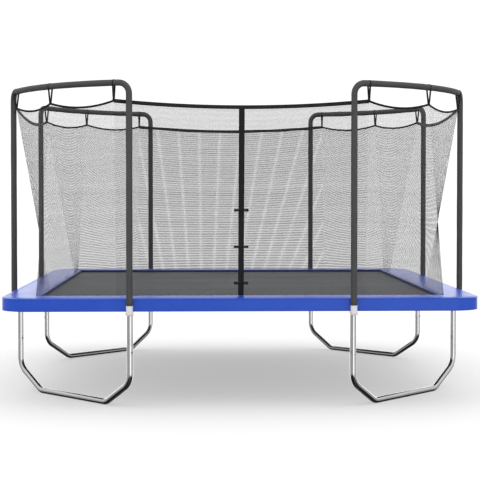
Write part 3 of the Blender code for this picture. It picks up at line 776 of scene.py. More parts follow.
def sleeves():
    """Foam sleeves in a sewn cover, one from pole foot to pole foot over each hoop."""
    path = resampled(hoop_path(SLEEVE_BOTTOM), SLEEVE_STEP)
    shape = Shape()
    radii = [SLEEVE_R] * len(path)
    for i, tuck in enumerate((0.0034, 0.0012, 0.0003)):
        radii[i] -= tuck
        radii[-1 - i] -= tuck
    tube(shape, path, radii, 28, ACROSS_CORNER, bulge=sleeve_bulge(distances(path)[-1]))
    for end in (path[0], path[-1]):
        for height in SLEEVE_BANDS:
            ring_tube(shape, circle(end + UP * height, SLEEVE_R + 0.0002, 48), 0.0006, 5)
    seam = [p - u * (SLEEVE_R + 0.0004) for p, _, u, _ in frames_along(path, ACROSS_CORNER)]
    tube(shape, seam, 0.0011, 6)
    for sleeve in four_pieces("sleeve_{}", shape, SLEEVE, ["hoop_sleeve_{}"]):
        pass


def pole_caps():
    """White moulded sockets at the feet of the poles, each with a saddle round its leg."""
    low, high, radius, rim, leg_gap = CAP_LOW.z, CAP_HIGH.z, 0.0275, 0.0012, 0.0268
    profile = [(low, 0.010), (low + 0.0008, 0.0155), (low + 0.003, 0.0205), (low + 0.0065, 0.0243),
               (low + 0.011, 0.0265), (low + 0.016, radius), (high - 0.010, radius),
               (high - 0.0092, radius + rim), (high - 0.0012, radius + rim),
               (high, radius), (high - 0.0004, 0.0215)]
    shape = Shape()
    lathe(shape, profile, (-HOOP_HALF, -LEG_ALONG, 0), UP, 40)
    gap = [(cos(a) * leg_gap, sin(a) * leg_gap) for a in np.linspace(pi / 2, 3 * pi / 2, 17)]
    back = -HOOP_HALF - 0.004 + RAIL_HALF
    saddle = [*gap, (0, -0.033), (back + 0.012, -0.033), (back, -0.022), (back, 0.022),
              (back + 0.012, 0.033), (0, 0.033)]
    outline = [(x - RAIL_HALF, y - LEG_ALONG) for x, y in saddle]
    plate(shape, outline[::-1], low + 0.004, low + 0.026, 0.0015)
    for side in (-1, 1):
        rib = Vector((-HOOP_HALF + 0.020, -LEG_ALONG + side * 0.021, low))
        rounded_box(shape, rib + Vector((-0.004, -0.0015, 0.025)), rib + Vector((0.010, 0.0015, 0.045)))
    mirrored = Shape()
    mirrored.add([(y, x, z) for x, y, z in shape.verts],
                 [face[::-1] for face in shape.faces], [w[::-1] for w in shape.weave])
    for number, half in ((1, shape), (2, mirrored)):
        four_pieces(f"cap_{{}}_{number}", half, CAP, [f"pole_cap_{{}}_{number}"])


def arches():
    """The bent upper tubes, which the sleeves cover."""
    shape = Shape()
    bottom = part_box("hoop_arch_front_left")[0].z
    tube(shape, resampled(hoop_path(bottom), 2 * SLEEVE_STEP), ARCH_R, 16, ACROSS_CORNER)
    four_pieces("arch_{}", shape, STEEL, ["hoop_arch_{}"])


def tint_cad_nodes():
    """The straight poles inside the sleeves keep their CAD shapes."""
    for name, node in frame["nodes"].items():
        if name.startswith("hoop_pole"):
            node.data.materials.clear()
            node.data.materials.append(STEEL)


# Springs, mat and pad


WIRE_R = 0.0014
COIL_R = 0.0071
COIL_TURNS = 26
COIL_STEPS = 10  # points to a turn
COIL_START, COIL_END = -1.764, -1.894
SPRING_Z = (SPRING_LOW.z + SPRING_HIGH.z) / 2


def spring_path():
    """Centre line of a left-side spring at y = 0: ring hook, coil, then the hook over the rail."""
    ring_hook = [(-1.7500, -0.0045), (-1.7475, -0.0025), (-1.7468, 0.0005), (-1.7482, 0.0036),
                 (-1.7515, 0.0052), (-1.7560, 0.0045), (-1.7600, 0.0020)]
    rail_hook = [(-1.9000, 0.0040), (-1.9080, 0.0085), (-1.9170, 0.0108), (-1.9245, 0.0108),
                 (-1.9295, 0.0080), (-1.9315, 0.0020)]
    steps = COIL_TURNS * COIL_STEPS
    coil = []
    for i in range(steps + 1):
        a = i * 2 * pi / COIL_STEPS
        radius = COIL_R * min(1, i / 5, (steps - i) / 5 + 0.15)
        x = COIL_START + (COIL_END - COIL_START) * i / steps
        coil.append((x, radius * sin(a), radius * cos(a)))
    points = [(x, 0, z) for x, z in ring_hook] + coil + [(x, 0, z) for x, z in rail_hook]
    return [Vector((x, y, SPRING_Z + z)) for x, y, z in points]


def spring_places():
    pitch = 2 * SPRING_ROW_HALF / (SPRINGS_PER_SIDE - 1)
    return [-SPRING_ROW_HALF + i * pitch for i in range(SPRINGS_PER_SIDE)]


def along_side(one):
    """A piece for every spring of the left side, from the one at y = 0."""
    row = Shape()
    for y in spring_places():
        row.join(one, Matrix.Translation((0, y, 0)))
    return row


def spring_rows():
    one = Shape()
    tube(one, spring_path(), WIRE_R, 5, Y_AXIS)
    made = four_pieces("springs_{}", along_side(one), SPRING, ["spring_row_{}"], SIDES, None, 60)
    for k, springs in enumerate(made):
        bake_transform(springs)


def mat_rings():
    """Triangular rings along the mat's edge, one to a spring, each in its webbing loop."""
    ring, loop = Shape(), Shape()
    corners = [Vector((x, y, SPRING_Z + 0.001)) for x, y in (
        (-1.7495, 0.0), (-1.7215, 0.016), (-1.7215, -0.016))]
    path = []
    for i, corner in enumerate(corners):
        a, b = corners[i - 1], corners[(i + 1) % 3]
        path += [corner.lerp(a, 0.16), corner.lerp((a + b) / 2, 0.05)]
        path += [corner.lerp(b, 0.16), corner.lerp(b, 0.5)]
    ring_tube(ring, path, 0.0016, 6)
    low = MAT_LOW.z
    loop_path = [(-1.700, 0, low - 0.0030), (-1.714, 0, low - 0.0045), (-1.7225, 0, low - 0.0085),
                 (-1.7255, 0, SPRING_Z + 0.0005), (-1.7225, 0, SPRING_Z - 0.0022),
                 (-1.714, 0, SPRING_Z - 0.0010), (-1.700, 0, low - 0.0048)]
    normals = [Vector((x, 0, z)) for x, z in (
        (0, 1), (-0.3, 1), (-0.7, 0.7), (-1, 0), (-0.6, -0.8), (0.2, -1), (0.2, -1))]
    strap(loop, loop_path, 0.024, 0.0012, normals)
    four_pieces("mat_rings_{}", along_side(ring), ZINC, (), SIDES, "mat", 50)
    four_pieces("mat_loops_{}", along_side(loop), WEBBING, (), SIDES, "mat", 50)


def jumping_mat():
    """The woven mat, drawn flat by its springs, with a sewn webbing hem underneath."""
    half, count = MAT_HIGH.x, 80
    marks = np.linspace(-half, half, count + 1)
    weave = [float(m + half) for m in marks]
    slow = wobble(2, 9, 13)
    shape = Shape()
    for height, order in ((MAT_HIGH.z, 1), (MAT_LOW.z, -1)):
        face = []
        for y in marks:
            ripple = 0.0005 * slow(y * 0.7) * (1 - (y / half) ** 8)
            face.append([Vector((x, y, height + ripple * sin(2.2 * x) * (1 - (x / half) ** 8)))
                         for x in marks[::order]])
        shape.grid(face, False, weave, weave)
    for k in range(4):
        edges = [[quarter_turn(k) @ Vector((x, -half, z)) for x in marks] for z in (MAT_LOW.z, MAT_HIGH.z)]
        shape.grid(edges, False, weave, [0, MAT_HIGH.z - MAT_LOW.z])
    mesh = shape.mesh("mat", 40)
    merge_doubles(mesh, 0.0002, outward=True)
    mat = piece("mat", mesh, MAT, ["jump_mat"], "mat")
    hem, thread = Shape(), Shape()
    hem_z = MAT_LOW.z - 0.0012
    for k in range(4):
        turn = quarter_turn(k)
        line = [turn @ Vector((x, -half + 0.024, hem_z)) for x in np.linspace(-half, half, 60)]
        strap(hem, line, MAT_HEM_WIDTH, MAT_HEM_T, [UP] * 60)
        for inset in (0.006, 0.042):
            for height in (hem_z - 0.0010, MAT_HIGH.z):
                stitch = [turn @ Vector((x, -half + inset, height)) for x in (-half + 0.004, half - 0.004)]
                tube(thread, stitch, 0.0005, 5)
    webbing = piece("mat_hem", hem, WEBBING, body="mat")
    stitching = piece("mat_stitching", thread, THREAD, body="mat")


PAD_POINTS = 640
PAD_COLUMNS = 15
PAD_SHEET_SLACK = 0.022
PAD_LIFT = 3.0  # the foam's push in the simulation, as an upward gravity
PAD_FRAMES = 26


def pad_outline():
    """Points round the pad's outer edge, evenly spaced, anticlockwise from the right side's middle."""
    straight = PAD_HIGH.x - PAD_CORNER_R
    path = [Vector((PAD_HIGH.x, 0, 0))]
    for k in range(4):
        turn = pi / 4 + k * pi / 2
        corner = Vector((cos(turn), sin(turn), 0)) * sqrt(2) * straight
        for a in (turn - pi / 4 + step * pi / 48 for step in range(25)):
            path.append(corner + Vector((cos(a), sin(a), 0)) * PAD_CORNER_R)
    path.append(path[0])
    return resampled(path, count=PAD_POINTS)[:-1]


def pad_inner(outer):
    return outer * (PAD_INNER_HALF / max(abs(outer.x), abs(outer.y)))


def swollen(rows, pins, stretch, lift, frames):
    """How a sheet that is a little too large rises between its sewn edges, by cloth simulation."""
    shape = Shape()
    shape.grid(rows + [rows[0]])
    mesh = shape.mesh("swell", 180)
    merge_doubles(mesh, 0.0001)
    ob = bpy.data.objects.new("swell", mesh)
    scene = bpy.context.scene
    scene.collection.objects.link(ob)
    start = np.array([v.co for v in mesh.vertices])
    held = ob.vertex_groups.new(name="sewn")
    held.add([i for i, p in enumerate(start) if tuple(np.round(p, 4)) in pins], 1.0, "REPLACE")
    cloth = ob.modifiers.new("swell", "CLOTH")
    settings = dict(quality=6, mass=0.4, tension_stiffness=30, compression_stiffness=30, shear_stiffness=10,
                    bending_stiffness=0.6, air_damping=4, shrink_min=-stretch, shrink_max=-stretch,
                    vertex_group_mass="sewn")
    for key, value in settings.items():
        setattr(cloth.settings, key, value)
    gravity = scene.gravity.copy()
    scene.gravity = (0, 0, lift)
    for span in (scene, cloth.point_cache):
        span.frame_start, span.frame_end = 1, frames
    for number in range(1, frames + 1):
        scene.frame_set(number)
    result = ob.evaluated_get(bpy.context.evaluated_depsgraph_get()).to_mesh()
    rise = np.array([v.co.z for v in result.vertices]) - start[:, 2]
    order = {tuple(np.round(p, 4)): i for i, p in enumerate(start)}
    bpy.data.objects.remove(ob, do_unlink=True)
    scene.gravity = gravity
    scene.frame_set(1)
    return [[float(rise[order[tuple(np.round(p, 4))]]) for p in row] for row in rows]


def pad():
    """The blue PVC pad: foam between coated sheets, a sewn rim and a hanging skirt."""
    top, under, floor = PAD_HIGH.z, PAD_HIGH.z - PAD_T, PAD_LOW.z
    skin = top - 0.0035  # the foam's crown rises above it
    tuck = top - 0.0085  # the opening's edge, in its binding
    outer = pad_outline()
    inner = [pad_inner(p) for p in outer]
    outward = [(o - i).normalized() for i, o in zip(inner, outer)]
    spacing = distances(outer)
    columns = np.linspace(0.03, 0.97, PAD_COLUMNS)
    flat_rows = [[i.lerp(o, c) for c in columns] for i, o in zip(inner, outer)]
    sewn = {tuple(np.round(row[end], 4)) for row in flat_rows for end in (0, -1)}
    rise = swollen(flat_rows, sewn, PAD_SHEET_SLACK, PAD_LIFT, PAD_FRAMES)
    slow, side = wobble(4, 6, 10), wobble(12, 15, 21)
    rows, skirt_edge = [], []
    for i, o, out, lifts, s in zip(inner, outer, outward, rise, spacing):
        sway = 0.0016 * slow(s * 0.5) + 0.0008 * side(s)

        def at(rho, z, push=0.0):
            p = i + (o - i) * rho + out * push
            return Vector((p.x, p.y, z))

        row = [at(0.010, under), at(0.001, under + 0.001), at(0.0, top - 0.015), at(0.010, tuck)]
        for c, lift in zip(columns, lifts):
            crown = 0.0030 * sin(pi * c) ** 0.5
            row.append(at(c, skin + crown + max(-0.002, min(0.007, lift)) * 0.6))
        row += [at(0.988, skin - 0.0004), at(0.997, skin - 0.0025), at(1.0, skin - 0.006)]
        row += [at(1.0, float(z), sway * (skin - z) / (skin - floor))
                for z in np.linspace(skin - 0.010, floor + 0.006, 7)]
        for z, back in ((floor + 0.001, 0.0), (floor, 0.001), (floor + 0.001, 0.0022)):
            row.append(at(1.0, z, sway - back))
        hem = len(row) - 1  # the black underside starts here
        row += [at(1.0, float(z), -0.0022) for z in np.linspace(floor + 0.02, under - 0.001, 4)]
        row += [at(0.985, under), at(0.5, under - 0.0005 + 0.0005 * slow(s))]
        skirt_edge.append(at(1.0, floor + 0.012, sway * 0.9 + 0.0003))
        rows.append(row)
    rows.append(rows[0])
    marks = distances(rows[0])
    marks.append(marks[-1] + (rows[0][0] - rows[0][-1]).length)
    lengths = spacing + [spacing[-1] + (outer[0] - outer[-1]).length]
    shape, trim, binding = Shape(), Shape(), Shape()
    shape.grid(rows, True, marks, lengths)
    cover = pvc_look("pad_cover", (0.006, 0.043, 0.315), (0.010, 0.057, 0.385), marks[hem])
    blue = piece("pad", shape, cover, ["safety_pad"], crease=50)
    rim = [o + UP * (skin - 0.0022) + out * 0.0006 for o, out in zip(outer, outward)]
    ring_tube(trim, rim, 0.0022, 8)
    ring_tube(trim, skirt_edge, 0.0006, 5)
    piece("pad_piping", trim, BLUE_BINDING)
    # A binding round the opening, drawn dark navy as painted shade for the gap between the pad's inner edge
    # and the mat.
    edge = [i.lerp(o, 0.012) + UP * tuck for i, o in zip(inner, outer)]
    ring_tube(binding, edge, 0.0088, 12)
    piece("pad_inner_binding_painted_shade", binding, DARK_BINDING_AND_PAINTED_SHADE)


# Net, top edge, hangers and door


HANGING_ARCS = (APEX_ARC, HOOP_LENGTH / 2, HOOP_LENGTH - APEX_ARC)


def apex(k, number):
    """Hanging point number 0 to 2 of corner k."""
    return quarter_turn(k) @ hoop_point(HANGING_ARCS[number], APEX_Z)


def foot_under(point, corner):
    """Where the net comes down on the pad below one of its hanging points."""
    x, y = point.x, point.y
    on_front = not corner and abs(y) > abs(x) and y < 0
    reach = NET_BASE_HALF if corner or on_front else NET_SIDE_HALF
    if corner or abs(x) > abs(y):
        x = reach if x > 0 else -reach
    if corner or abs(y) > abs(x):
        y = reach if y > 0 else -reach
    return Vector((x, y, NET_LOW.z))


def spans():
    """The net's twelve spans in order: name, start and end apex, their feet and the top's sag."""
    result = []
    for k, where in enumerate(CORNERS):
        points = [apex(k, n) for n in range(3)]
        feet = [foot_under(p, n == 1) for n, p in enumerate(points)]
        for n in (0, 1):
            result.append((f"{where}_{n + 1}", points[n], points[n + 1], feet[n], feet[n + 1], CORNER_SAG))
        follow = apex((k + 1) % 4, 0)
        on_end = abs(points[2].y - follow.y) < 0.01
        side = SIDES[(k + 1) % 4]
        sag = END_SAG if on_end else SIDE_SAG
        result.append((side, points[2], follow, feet[2], foot_under(follow, False), sag))
    return result


def top_point(a, b, sag, t):
    return a.lerp(b, t) - UP * (4 * sag * t * (1 - t))


COURSE_PITCH = 0.007
COURSE_R = 0.00124
COURSE_T = 0.00040
PILLAR_PITCH = 0.008
SIDE_PILLAR_PITCH = 0.020
PILLAR_R = 0.00016
FOLD_FOOT, FOLD_RISE = 0.140, 0.096  # between the back net's folds at its foot, and what the top adds
FOLD_START, FOLD_DRIFT = 0.195, -0.073
FOLD_HALF_WIDTH = 0.014
FOLD_THINNING = 0.66
# How wide the courses are drawn out in each cloth
NET_COVER = {"front_left": 1.11, "front_right": 1.11, "back": 1.00, "left": 0.70, "right": 0.72}
CORNER_COVER = 0.90
NET_TUCK = 0.003  # how far the net is sewn in under the door's edging


def prisms(lines, across, normal, half_width, half_thickness):
    """Three-sided twine along many lines at once. lines is (count, points, 3)."""
    count, points, _ = lines.shape
    angles = np.array([0.5, 2.594, 4.689])
    wide = np.broadcast_to(half_width, (count, points))[:, :, None, None]
    verts = lines[:, :, None, :] + wide * np.cos(angles)[:, None] * across
    verts = verts + half_thickness * np.sin(angles)[:, None] * normal
    base = (np.arange(count) * points * 3)[:, None, None]
    ring = (np.arange(points - 1) * 3)[None, :, None]
    k = np.arange(3)[None, None, :]
    m = (k + 1) % 3
    quads = np.stack([base + ring + k, base + ring + m, base + ring + 3 + m, base + ring + 3 + k], -1)
    first = base[:, 0] + np.array([2, 1, 0])
    last = base[:, 0] + (points - 1) * 3 + np.array([0, 1, 2])
    return verts.reshape(-1, 3), quads.reshape(-1, 4), np.concatenate([first, last])


def folds(across, height):
    """How far the cloth is drawn thin, from 0 to 1, in a fan of upright folds."""
    gap = FOLD_FOOT + FOLD_RISE * height
    turn = (across - FOLD_START - FOLD_DRIFT * height) / gap
    off = np.abs(turn - np.round(turn)) * gap
    return np.exp(-(off / FOLD_HALF_WIDTH) ** 2)


def net_panel(parts, a, b, foot_a, foot_b, sag, start, end, cover, pitch, folded):
    """Part of one span of the net: flat level courses, narrower where the cloth is drawn thin in
    folds, and the thin pillar threads that tie them."""
    a, b, foot_a, foot_b = (np.array(p) for p in (a, b, foot_a, foot_b))
    drop = np.array((0, 0, HEM_R + 0.0005))
    width = float(np.linalg.norm(b - a)) * (end - start)
    height = float(np.linalg.norm((a + b) / 2 - (foot_a + foot_b) / 2))
    across = (b - a) / np.linalg.norm(b - a)
    rise = (a + b) / 2 - (foot_a + foot_b) / 2
    rise /= np.linalg.norm(rise)
    normal = np.cross(across, rise)
    normal /= np.linalg.norm(normal)

    def surface(u, v):
        u, v = u[..., None], v[..., None]
        top = a + (b - a) * u - drop - np.array((0, 0, 4 * sag)) * u * (1 - u)
        bottom = foot_a + (foot_b - foot_a) * u
        pleat = 0.0010 * np.sin(2 * pi * width * u / 0.17 + 2 * np.sin(5 * u)) * v**2 * (1 - v) * 4
        return bottom + (top - bottom) * v + normal * pleat

    columns = max(2, round(width / pitch))
    u = start + (end - start) * (np.arange(columns) + 0.5) / columns
    v = np.linspace(0, 1, 9)
    upright = surface(*np.meshgrid(u, v, indexing="ij"))
    parts.append(prisms(upright, across, normal, PILLAR_R, PILLAR_R))
    courses = round(height / COURSE_PITCH)
    v = (np.arange(courses) + 0.5) / courses
    step = 0.016 if folded else 0.06
    points = max(3, round(width / step) + 1)
    v, u = np.meshgrid(v, np.linspace(start, end, points), indexing="ij")
    thin = FOLD_THINNING * folds((u - 0.5) * width, v) if folded else 0.0
    uneven = 1 + 0.07 * np.sin(v * 61) * np.sin(v * 23 + 1) + 0.05 * np.sin(v * 211)
    parts.append(prisms(surface(u, v), rise, normal, cover * COURSE_R * uneven * (1 - thin), COURSE_T))


def twine_mesh(name, parts):
    """One mesh of all the prisms, without a Python loop over their faces."""
    verts = np.concatenate([p[0] for p in parts])
    base = np.cumsum([0] + [len(p[0]) for p in parts[:-1]])
    quads = np.concatenate([p[1] + b for p, b in zip(parts, base)])
    ends = np.concatenate([p[2] + b for p, b in zip(parts, base)])
    mesh = bpy.data.meshes.new(name)
    mesh.vertices.add(len(verts))
    mesh.vertices.foreach_set("co", verts.astype(np.float32).ravel())
    loops = np.concatenate([quads.ravel(), ends.ravel()])
    starts = np.concatenate([np.arange(len(quads)) * 4, len(quads) * 4 + np.arange(len(ends)) * 3])
    mesh.loops.add(len(loops))
    mesh.loops.foreach_set("vertex_index", loops.astype(np.int32))
    mesh.polygons.add(len(starts))
    mesh.polygons.foreach_set("loop_start", starts.astype(np.int32))
    mesh.update(calc_edges=True)
    mesh.shade_smooth()
    return mesh


def net():
    """Knitted netting, in one piece for each side and corner, split at the front by the door."""
    cloths = {}
    door_gap = DOOR_HALF - NET_TUCK
    for name, a, b, *rest in spans():
        if name == "front":
            gap = door_gap / (b - a).length
            cloths["front_left"] = [(a, b, *rest, 0.0, 0.5 - gap)]
            cloths["front_right"] = [(a, b, *rest, 0.5 + gap, 1.0)]
        else:
            where = name if name in SIDES else "corner_" + name[:-2]
            cloths.setdefault(where, []).append((a, b, *rest, 0.0, 1.0))
    for where, panels in cloths.items():
        sideways = where in ("left", "right")
        pitch = SIDE_PILLAR_PITCH if sideways else PILLAR_PITCH
        parts = []
        for panel in panels:
            net_panel(parts, *panel, NET_COVER.get(where, CORNER_COVER), pitch, folded=where == "back")
        cloth = piece(f"net_{where}", twine_mesh(f"net_{where}", parts), NET, ["net"])


def top_edge():
    """Webbing sewn along the net's long spans, and the roped hem round its corners."""
    webbing, stitches = Shape(), Shape()
    for name, a, b, _, _, sag in spans():
        if name not in SIDES:
            continue
        line = [top_point(a, b, sag, t) - UP * 0.001 for t in np.linspace(0, 1, 41)]
        out = (b - a).cross(UP).normalized()
        strap(webbing, line, TOP_TAPE_WIDTH, TAPE_T, [out] * len(line))
        for height in (-0.011, 0.011):
            for face in STITCH_FACES:
                tube(stitches, [p + UP * height + out * face for p in line], STITCH_R, 4, caps=False)
    piece("top_webbing", webbing, WEBBING, ["net_top_rope"])
    piece("top_stitching", stitches, WEBBING)
    ripple = wobble(7, 13)

    def lay(s, _):
        return 0.0004 * sin(s * 2 * pi / 0.02) + 0.0003 * ripple(s)

    for k, where in enumerate(CORNERS):
        rope, line = Shape(), []
        for n in (0, 1):
            a, b = apex(k, n), apex(k, n + 1)
            line += [top_point(a, b, CORNER_SAG + 0.001, t) for t in np.linspace(0, 1, 25)][n:]
        tube(rope, line, HEM_R + 0.0028, 12, bulge=lay)
        piece(f"corner_hem_{where}", rope, WEBBING)


CORD_R = 0.0076
KNOT_CORD_R = 0.0042
KNOT_TURNS = ((0.010, 0.0075), (0.004, 0.0085), (-0.003, 0.0085))  # height and radius of each turn


def hangers():
    """A cord loop from each hanging point up both sides of the sleeve above it, knotted below."""
    around = SLEEVE_R - 0.0046  # the cord sinks into the foam
    for number, arc in enumerate(HANGING_ARCS, start=1):
        shape = Shape()
        knot, middle = hoop_point(arc, APEX_Z), hoop_point(arc, HOOP_TOP)
        run = hoop_run(arc)
        out = run.cross(UP).normalized()
        wrap = [middle + (out * cos(a) + UP * sin(a)) * around
                for a in np.linspace(radians(-12), radians(192), 25)]
        low = knot - UP * 0.004
        rise = [(knot + out * 0.004).lerp(wrap[0], t) for t in (0.1, 0.5, 0.9)]
        fall = [(knot - out * 0.004).lerp(wrap[-1], t) for t in (0.9, 0.5, 0.1)]
        tube(shape, [low + out * 0.003, *rise, *wrap, *fall, low - out * 0.003], CORD_R, 10, run)
        for height, radius in KNOT_TURNS:
            ring_tube(shape, circle(knot + UP * height, radius, 16), KNOT_CORD_R, 7)
        four_pieces(f"hanger_{{}}_{number}", shape, WEBBING)


def door_frame():
    """The door strip's own axes: X across it, Y into the net and Z up along it, from its foot."""
    slide = next(j for j in frame["joints"] if j["name"] == "zip_slide")
    up = Vector(slide["axis"]).normalized()
    return Matrix.Translation((0, -NET_BASE_HALF, NET_LOW.z)) @ Matrix.Rotation(atan2(-up.y, up.z), 4, "X")


DOOR = door_frame()
TOOTH_PITCH = 0.0029


def door():
    """Two zip tapes under a stitched webbing edge, with the zip's teeth down their middle."""
    up = (DOOR.to_3x3() @ UP).normalized()
    low = (DOOR_LOW.z + 0.0005 - NET_LOW.z) / up.z
    high = (DOOR_HIGH.z - 0.0005 - NET_LOW.z) / up.z
    half = DOOR_HALF
    tape, edges, teeth, thread = Shape(), Shape(), Shape(), Shape()
    steps = np.linspace(low, high, 60)
    normal = DOOR.to_3x3() @ Y_AXIS
    for side in (-1, 1):
        line = [DOOR @ Vector((side * (half / 2 + 0.0001), 0, s)) for s in steps]
        strap(tape, line, half - 0.0003, ZIP_TAPE_T, [normal] * 60)
        rim = [DOOR @ Vector((side * (half - EDGING_WIDTH / 2), 0, s)) for s in steps]
        strap(edges, rim, EDGING_WIDTH, TAPE_T, [normal] * 60)
        for inset in (0.0025, 0.0090):
            for face in STITCH_FACES:
                seam = [DOOR @ Vector((side * (half - inset), face, s)) for s in (low, high)]
                tube(thread, seam, STITCH_R, 4)
    count = int((high - low) / TOOTH_PITCH)
    for i in range(count):
        s = low + (i + 0.5) * (high - low) / count
        side = 0.0011 if i % 2 else -0.0011
        place = DOOR @ Matrix.Translation((side, 0.0006, s))
        small_box(teeth, (-0.0032, -0.0012, -0.0013), (0.0032, 0.0014, 0.0013), place)
    strip = piece("door_strip", tape, WEBBING, ["door_flap"])
    edging = piece("door_edging", edges, WEBBING)
    zip_teeth = piece("zip_teeth", teeth, WEBBING, crease=30)
    stitching = piece("door_stitching", thread, WEBBING)


def small_box(shape, low, high, matrix):
    corners = [(x, y, z) for z in (low[2], high[2]) for y in (low[1], high[1]) for x in (low[0], high[0])]
    faces = [(0, 2, 3, 1), (4, 5, 7, 6), (0, 1, 5, 4), (2, 6, 7, 3), (0, 4, 6, 2), (1, 3, 7, 5)]
    shape.add([matrix @ Vector(c) for c in corners], faces)


def zip_slider():
    """Slider body over the teeth, with a bridge and a hinged pull tab on the inside."""
    shape = Shape()
    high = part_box("zip_slider")[1]
    up = (DOOR.to_3x3() @ UP).normalized()
    foot = (high.z - 0.001 - NET_LOW.z) / up.z - 0.016
    place = DOOR @ Matrix.Translation((0, 0, foot))
    wedge = [(-0.0042, 0.0), (0.0042, 0.0), (0.0060, 0.006), (0.0060, 0.013), (0.0042, 0.016),
             (0.0008, 0.0145), (-0.0008, 0.0145), (-0.0042, 0.016), (-0.0060, 0.013), (-0.0060, 0.006)]
    stand = place @ Matrix.Rotation(pi / 2, 4, "X")
    plate(shape, wedge, -0.0046, -0.0021, 0.0006, stand)
    bridge = [(0.0046, 0.003), (0.0064, 0.0045), (0.0068, 0.0075), (0.0064, 0.011), (0.0046, 0.0125)]
    tube(shape, [place @ Vector((0, y, z)) for y, z in bridge], 0.0010, 8, X_AXIS)
    ring = circle(Vector((0, 0.0060, 0.0045)), 1, 16, X_AXIS * 0.0030, UP * 0.0036)
    ring_tube(shape, [place @ p for p in ring], 0.0007, 6, Y_AXIS)
    tab = [(-0.0030, -0.0290), (0.0030, -0.0290), (0.0040, -0.0265), (0.0040, -0.004), (0.0026, 0.0022),
           (-0.0026, 0.0022), (-0.0040, -0.004), (-0.0040, -0.0265)]
    plate(shape, tab, -0.0075, -0.0050, 0.0008, stand)
    for rib in range(4):
        z = -0.026 + rib * 0.005
        small_box(shape, (-0.0028, 0.0074, z), (0.0028, 0.0080, z + 0.0022), place)
    piece("zip_pull", shape, PLASTIC, ["zip_slider"], "zip", 30)


def grips(shape, first, count, pitch, front, back, place):
    """Small ribs across a buckle half, for the fingers."""
    for step in range(count):
        x = first + step * pitch
        rounded_box(shape, (x, front, -0.0045), (x + 0.0022, back, 0.0045), 0.0004, place)


def buckles():
    """Side-release buckles across the door: body on the left, fork on the right, webbing tabs."""
    turn = DOOR.to_3x3().to_4x4()
    for level in ("top", "middle", "bottom"):
        middle = centre(f"buckle_{level}_female")
        place = Matrix.Translation(Vector((0, middle.y, middle.z)) + turn @ Vector((0, 0.005, 0))) @ turn
        flat = place @ Matrix.Rotation(pi / 2, 4, "X")
        body, fork, tab_left, tab_right = Shape(), Shape(), Shape(), Shape()
        for shape, webbing, side in ((body, tab_left, -1), (fork, tab_right, 1)):
            lug(shape, side, flat, place)
            tab(webbing, side, place)
        for z in (-0.0065, 0.0040):
            rounded_box(body, (-0.030, -0.0100, z), (-0.0006, 0.0, z + 0.0025), 0.0008, place)
        window = [(-0.030, -0.0062), (-0.0006, -0.0062), (-0.0006, 0.0062), (-0.030, 0.0062)]
        for y in (0.0075, 0.0000):
            plate(body, window, y, y + 0.0025, 0.0005, flat)
        grips(body, -0.0255, 4, 0.0055, -0.0108, -0.0098, place)
        rounded_box(fork, (0.0006, -0.0098, -0.0064), (0.031, -0.0002, 0.0064), 0.0014, place)
        for z in (-0.0034, 0.0010):
            prong = [(-0.0275, z + 0.0004), (-0.0240, z), (0.010, z), (0.010, z + 0.0024),
                     (-0.0240, z + 0.0024), (-0.0275, z + 0.0018)]
            plate(fork, prong, 0.0032, 0.0068, 0.0004, flat)
        grips(fork, 0.006, 3, 0.006, -0.0106, -0.0096, place)
        name = f"buckle_{level}"
        piece(f"{name}_body", body, PLASTIC, [f"{name}_female"], crease=30)
        piece(f"{name}_fork", fork, PLASTIC, [f"{name}_male"], name, 30)
        piece(f"{name}_strap_left", tab_left, WEBBING)
        piece(f"{name}_strap_right", tab_right, WEBBING, body=name)


def lug(shape, side, flat, place):
    """The end of a buckle half: a frame round its strap slot, and a cross bar."""
    for low, high in ((-0.011, -0.0072), (0.0072, 0.011)):
        rim = [(side * 0.0575, low), (side * 0.0590, low + 0.001), (side * 0.0590, high - 0.001),
               (side * 0.0575, high), (side * 0.0270, high), (side * 0.0255, (low + high) / 2),
               (side * 0.0270, low)]
        plate(shape, rim if side > 0 else rim[::-1], 0.0004, 0.0096, 0.0012, flat)
    for x, thick in ((0.0565, 0.0030), (0.0430, 0.0032), (0.03175, 0.0115)):
        low, high = sorted((side * (x - thick / 2), side * (x + thick / 2)))
        rounded_box(shape, (low, -0.0085, -0.0080), (high, -0.0015, 0.0080), 0.0010, place)


def tab(shape, side, place):
    """Webbing folded round a buckle's cross bar and sewn down behind it."""
    route = [(0.0590, -0.0010), (0.0520, -0.0016), (0.0470, -0.0045), (0.0430, -0.0092), (0.0390, -0.0060),
             (0.0405, -0.0014), (0.0480, -0.0004), (0.0600, -0.0004)]
    facing = [(0, 1), (0.3, 1), (0.8, 0.6), (0.2, 1), (-1, -0.3), (-0.7, -1), (0, -1), (0, -1)]
    turn = place.to_3x3()
    path = [place @ Vector((side * x, y, 0)) for x, y in route]
    normals = [turn @ Vector((side * x, y, 0)) for x, y in facing]
    strap(shape, path, 0.0138, 0.0011, normals)


# Stage: floor, light and camera


FLOOR_GREY = 0.33
FLOOR_GLOW = 0.41
FLOOR_REACH = 60


def floor():
    """A plain light grey floor, so wide that its edge is never seen."""
    mesh = bpy.data.meshes.new("floor")
    corners = [(x * FLOOR_REACH, y * FLOOR_REACH, 0) for x, y in ((-1, -1), (1, -1), (1, 1), (-1, 1))]
    mesh.from_pydata(corners, [], [(0, 1, 2, 3)])
    look = Look("studio_floor", (FLOOR_GREY,) * 3, 0.9, Specular_IOR_Level=0.0,
                Emission_Color=(1, 1, 1, 1), Emission_Strength=FLOOR_GLOW)
    cloud = look.noise(look.where(), 0.6, 2)
    look.colour(look.mixed(cloud, (FLOOR_GREY - 0.005,) * 3, (FLOOR_GREY + 0.005,) * 3))
    mesh.materials.append(look.material)
    ob = bpy.data.objects.new("floor", mesh)
    bpy.context.scene.collection.objects.link(ob)
    ob.visible_glossy = False


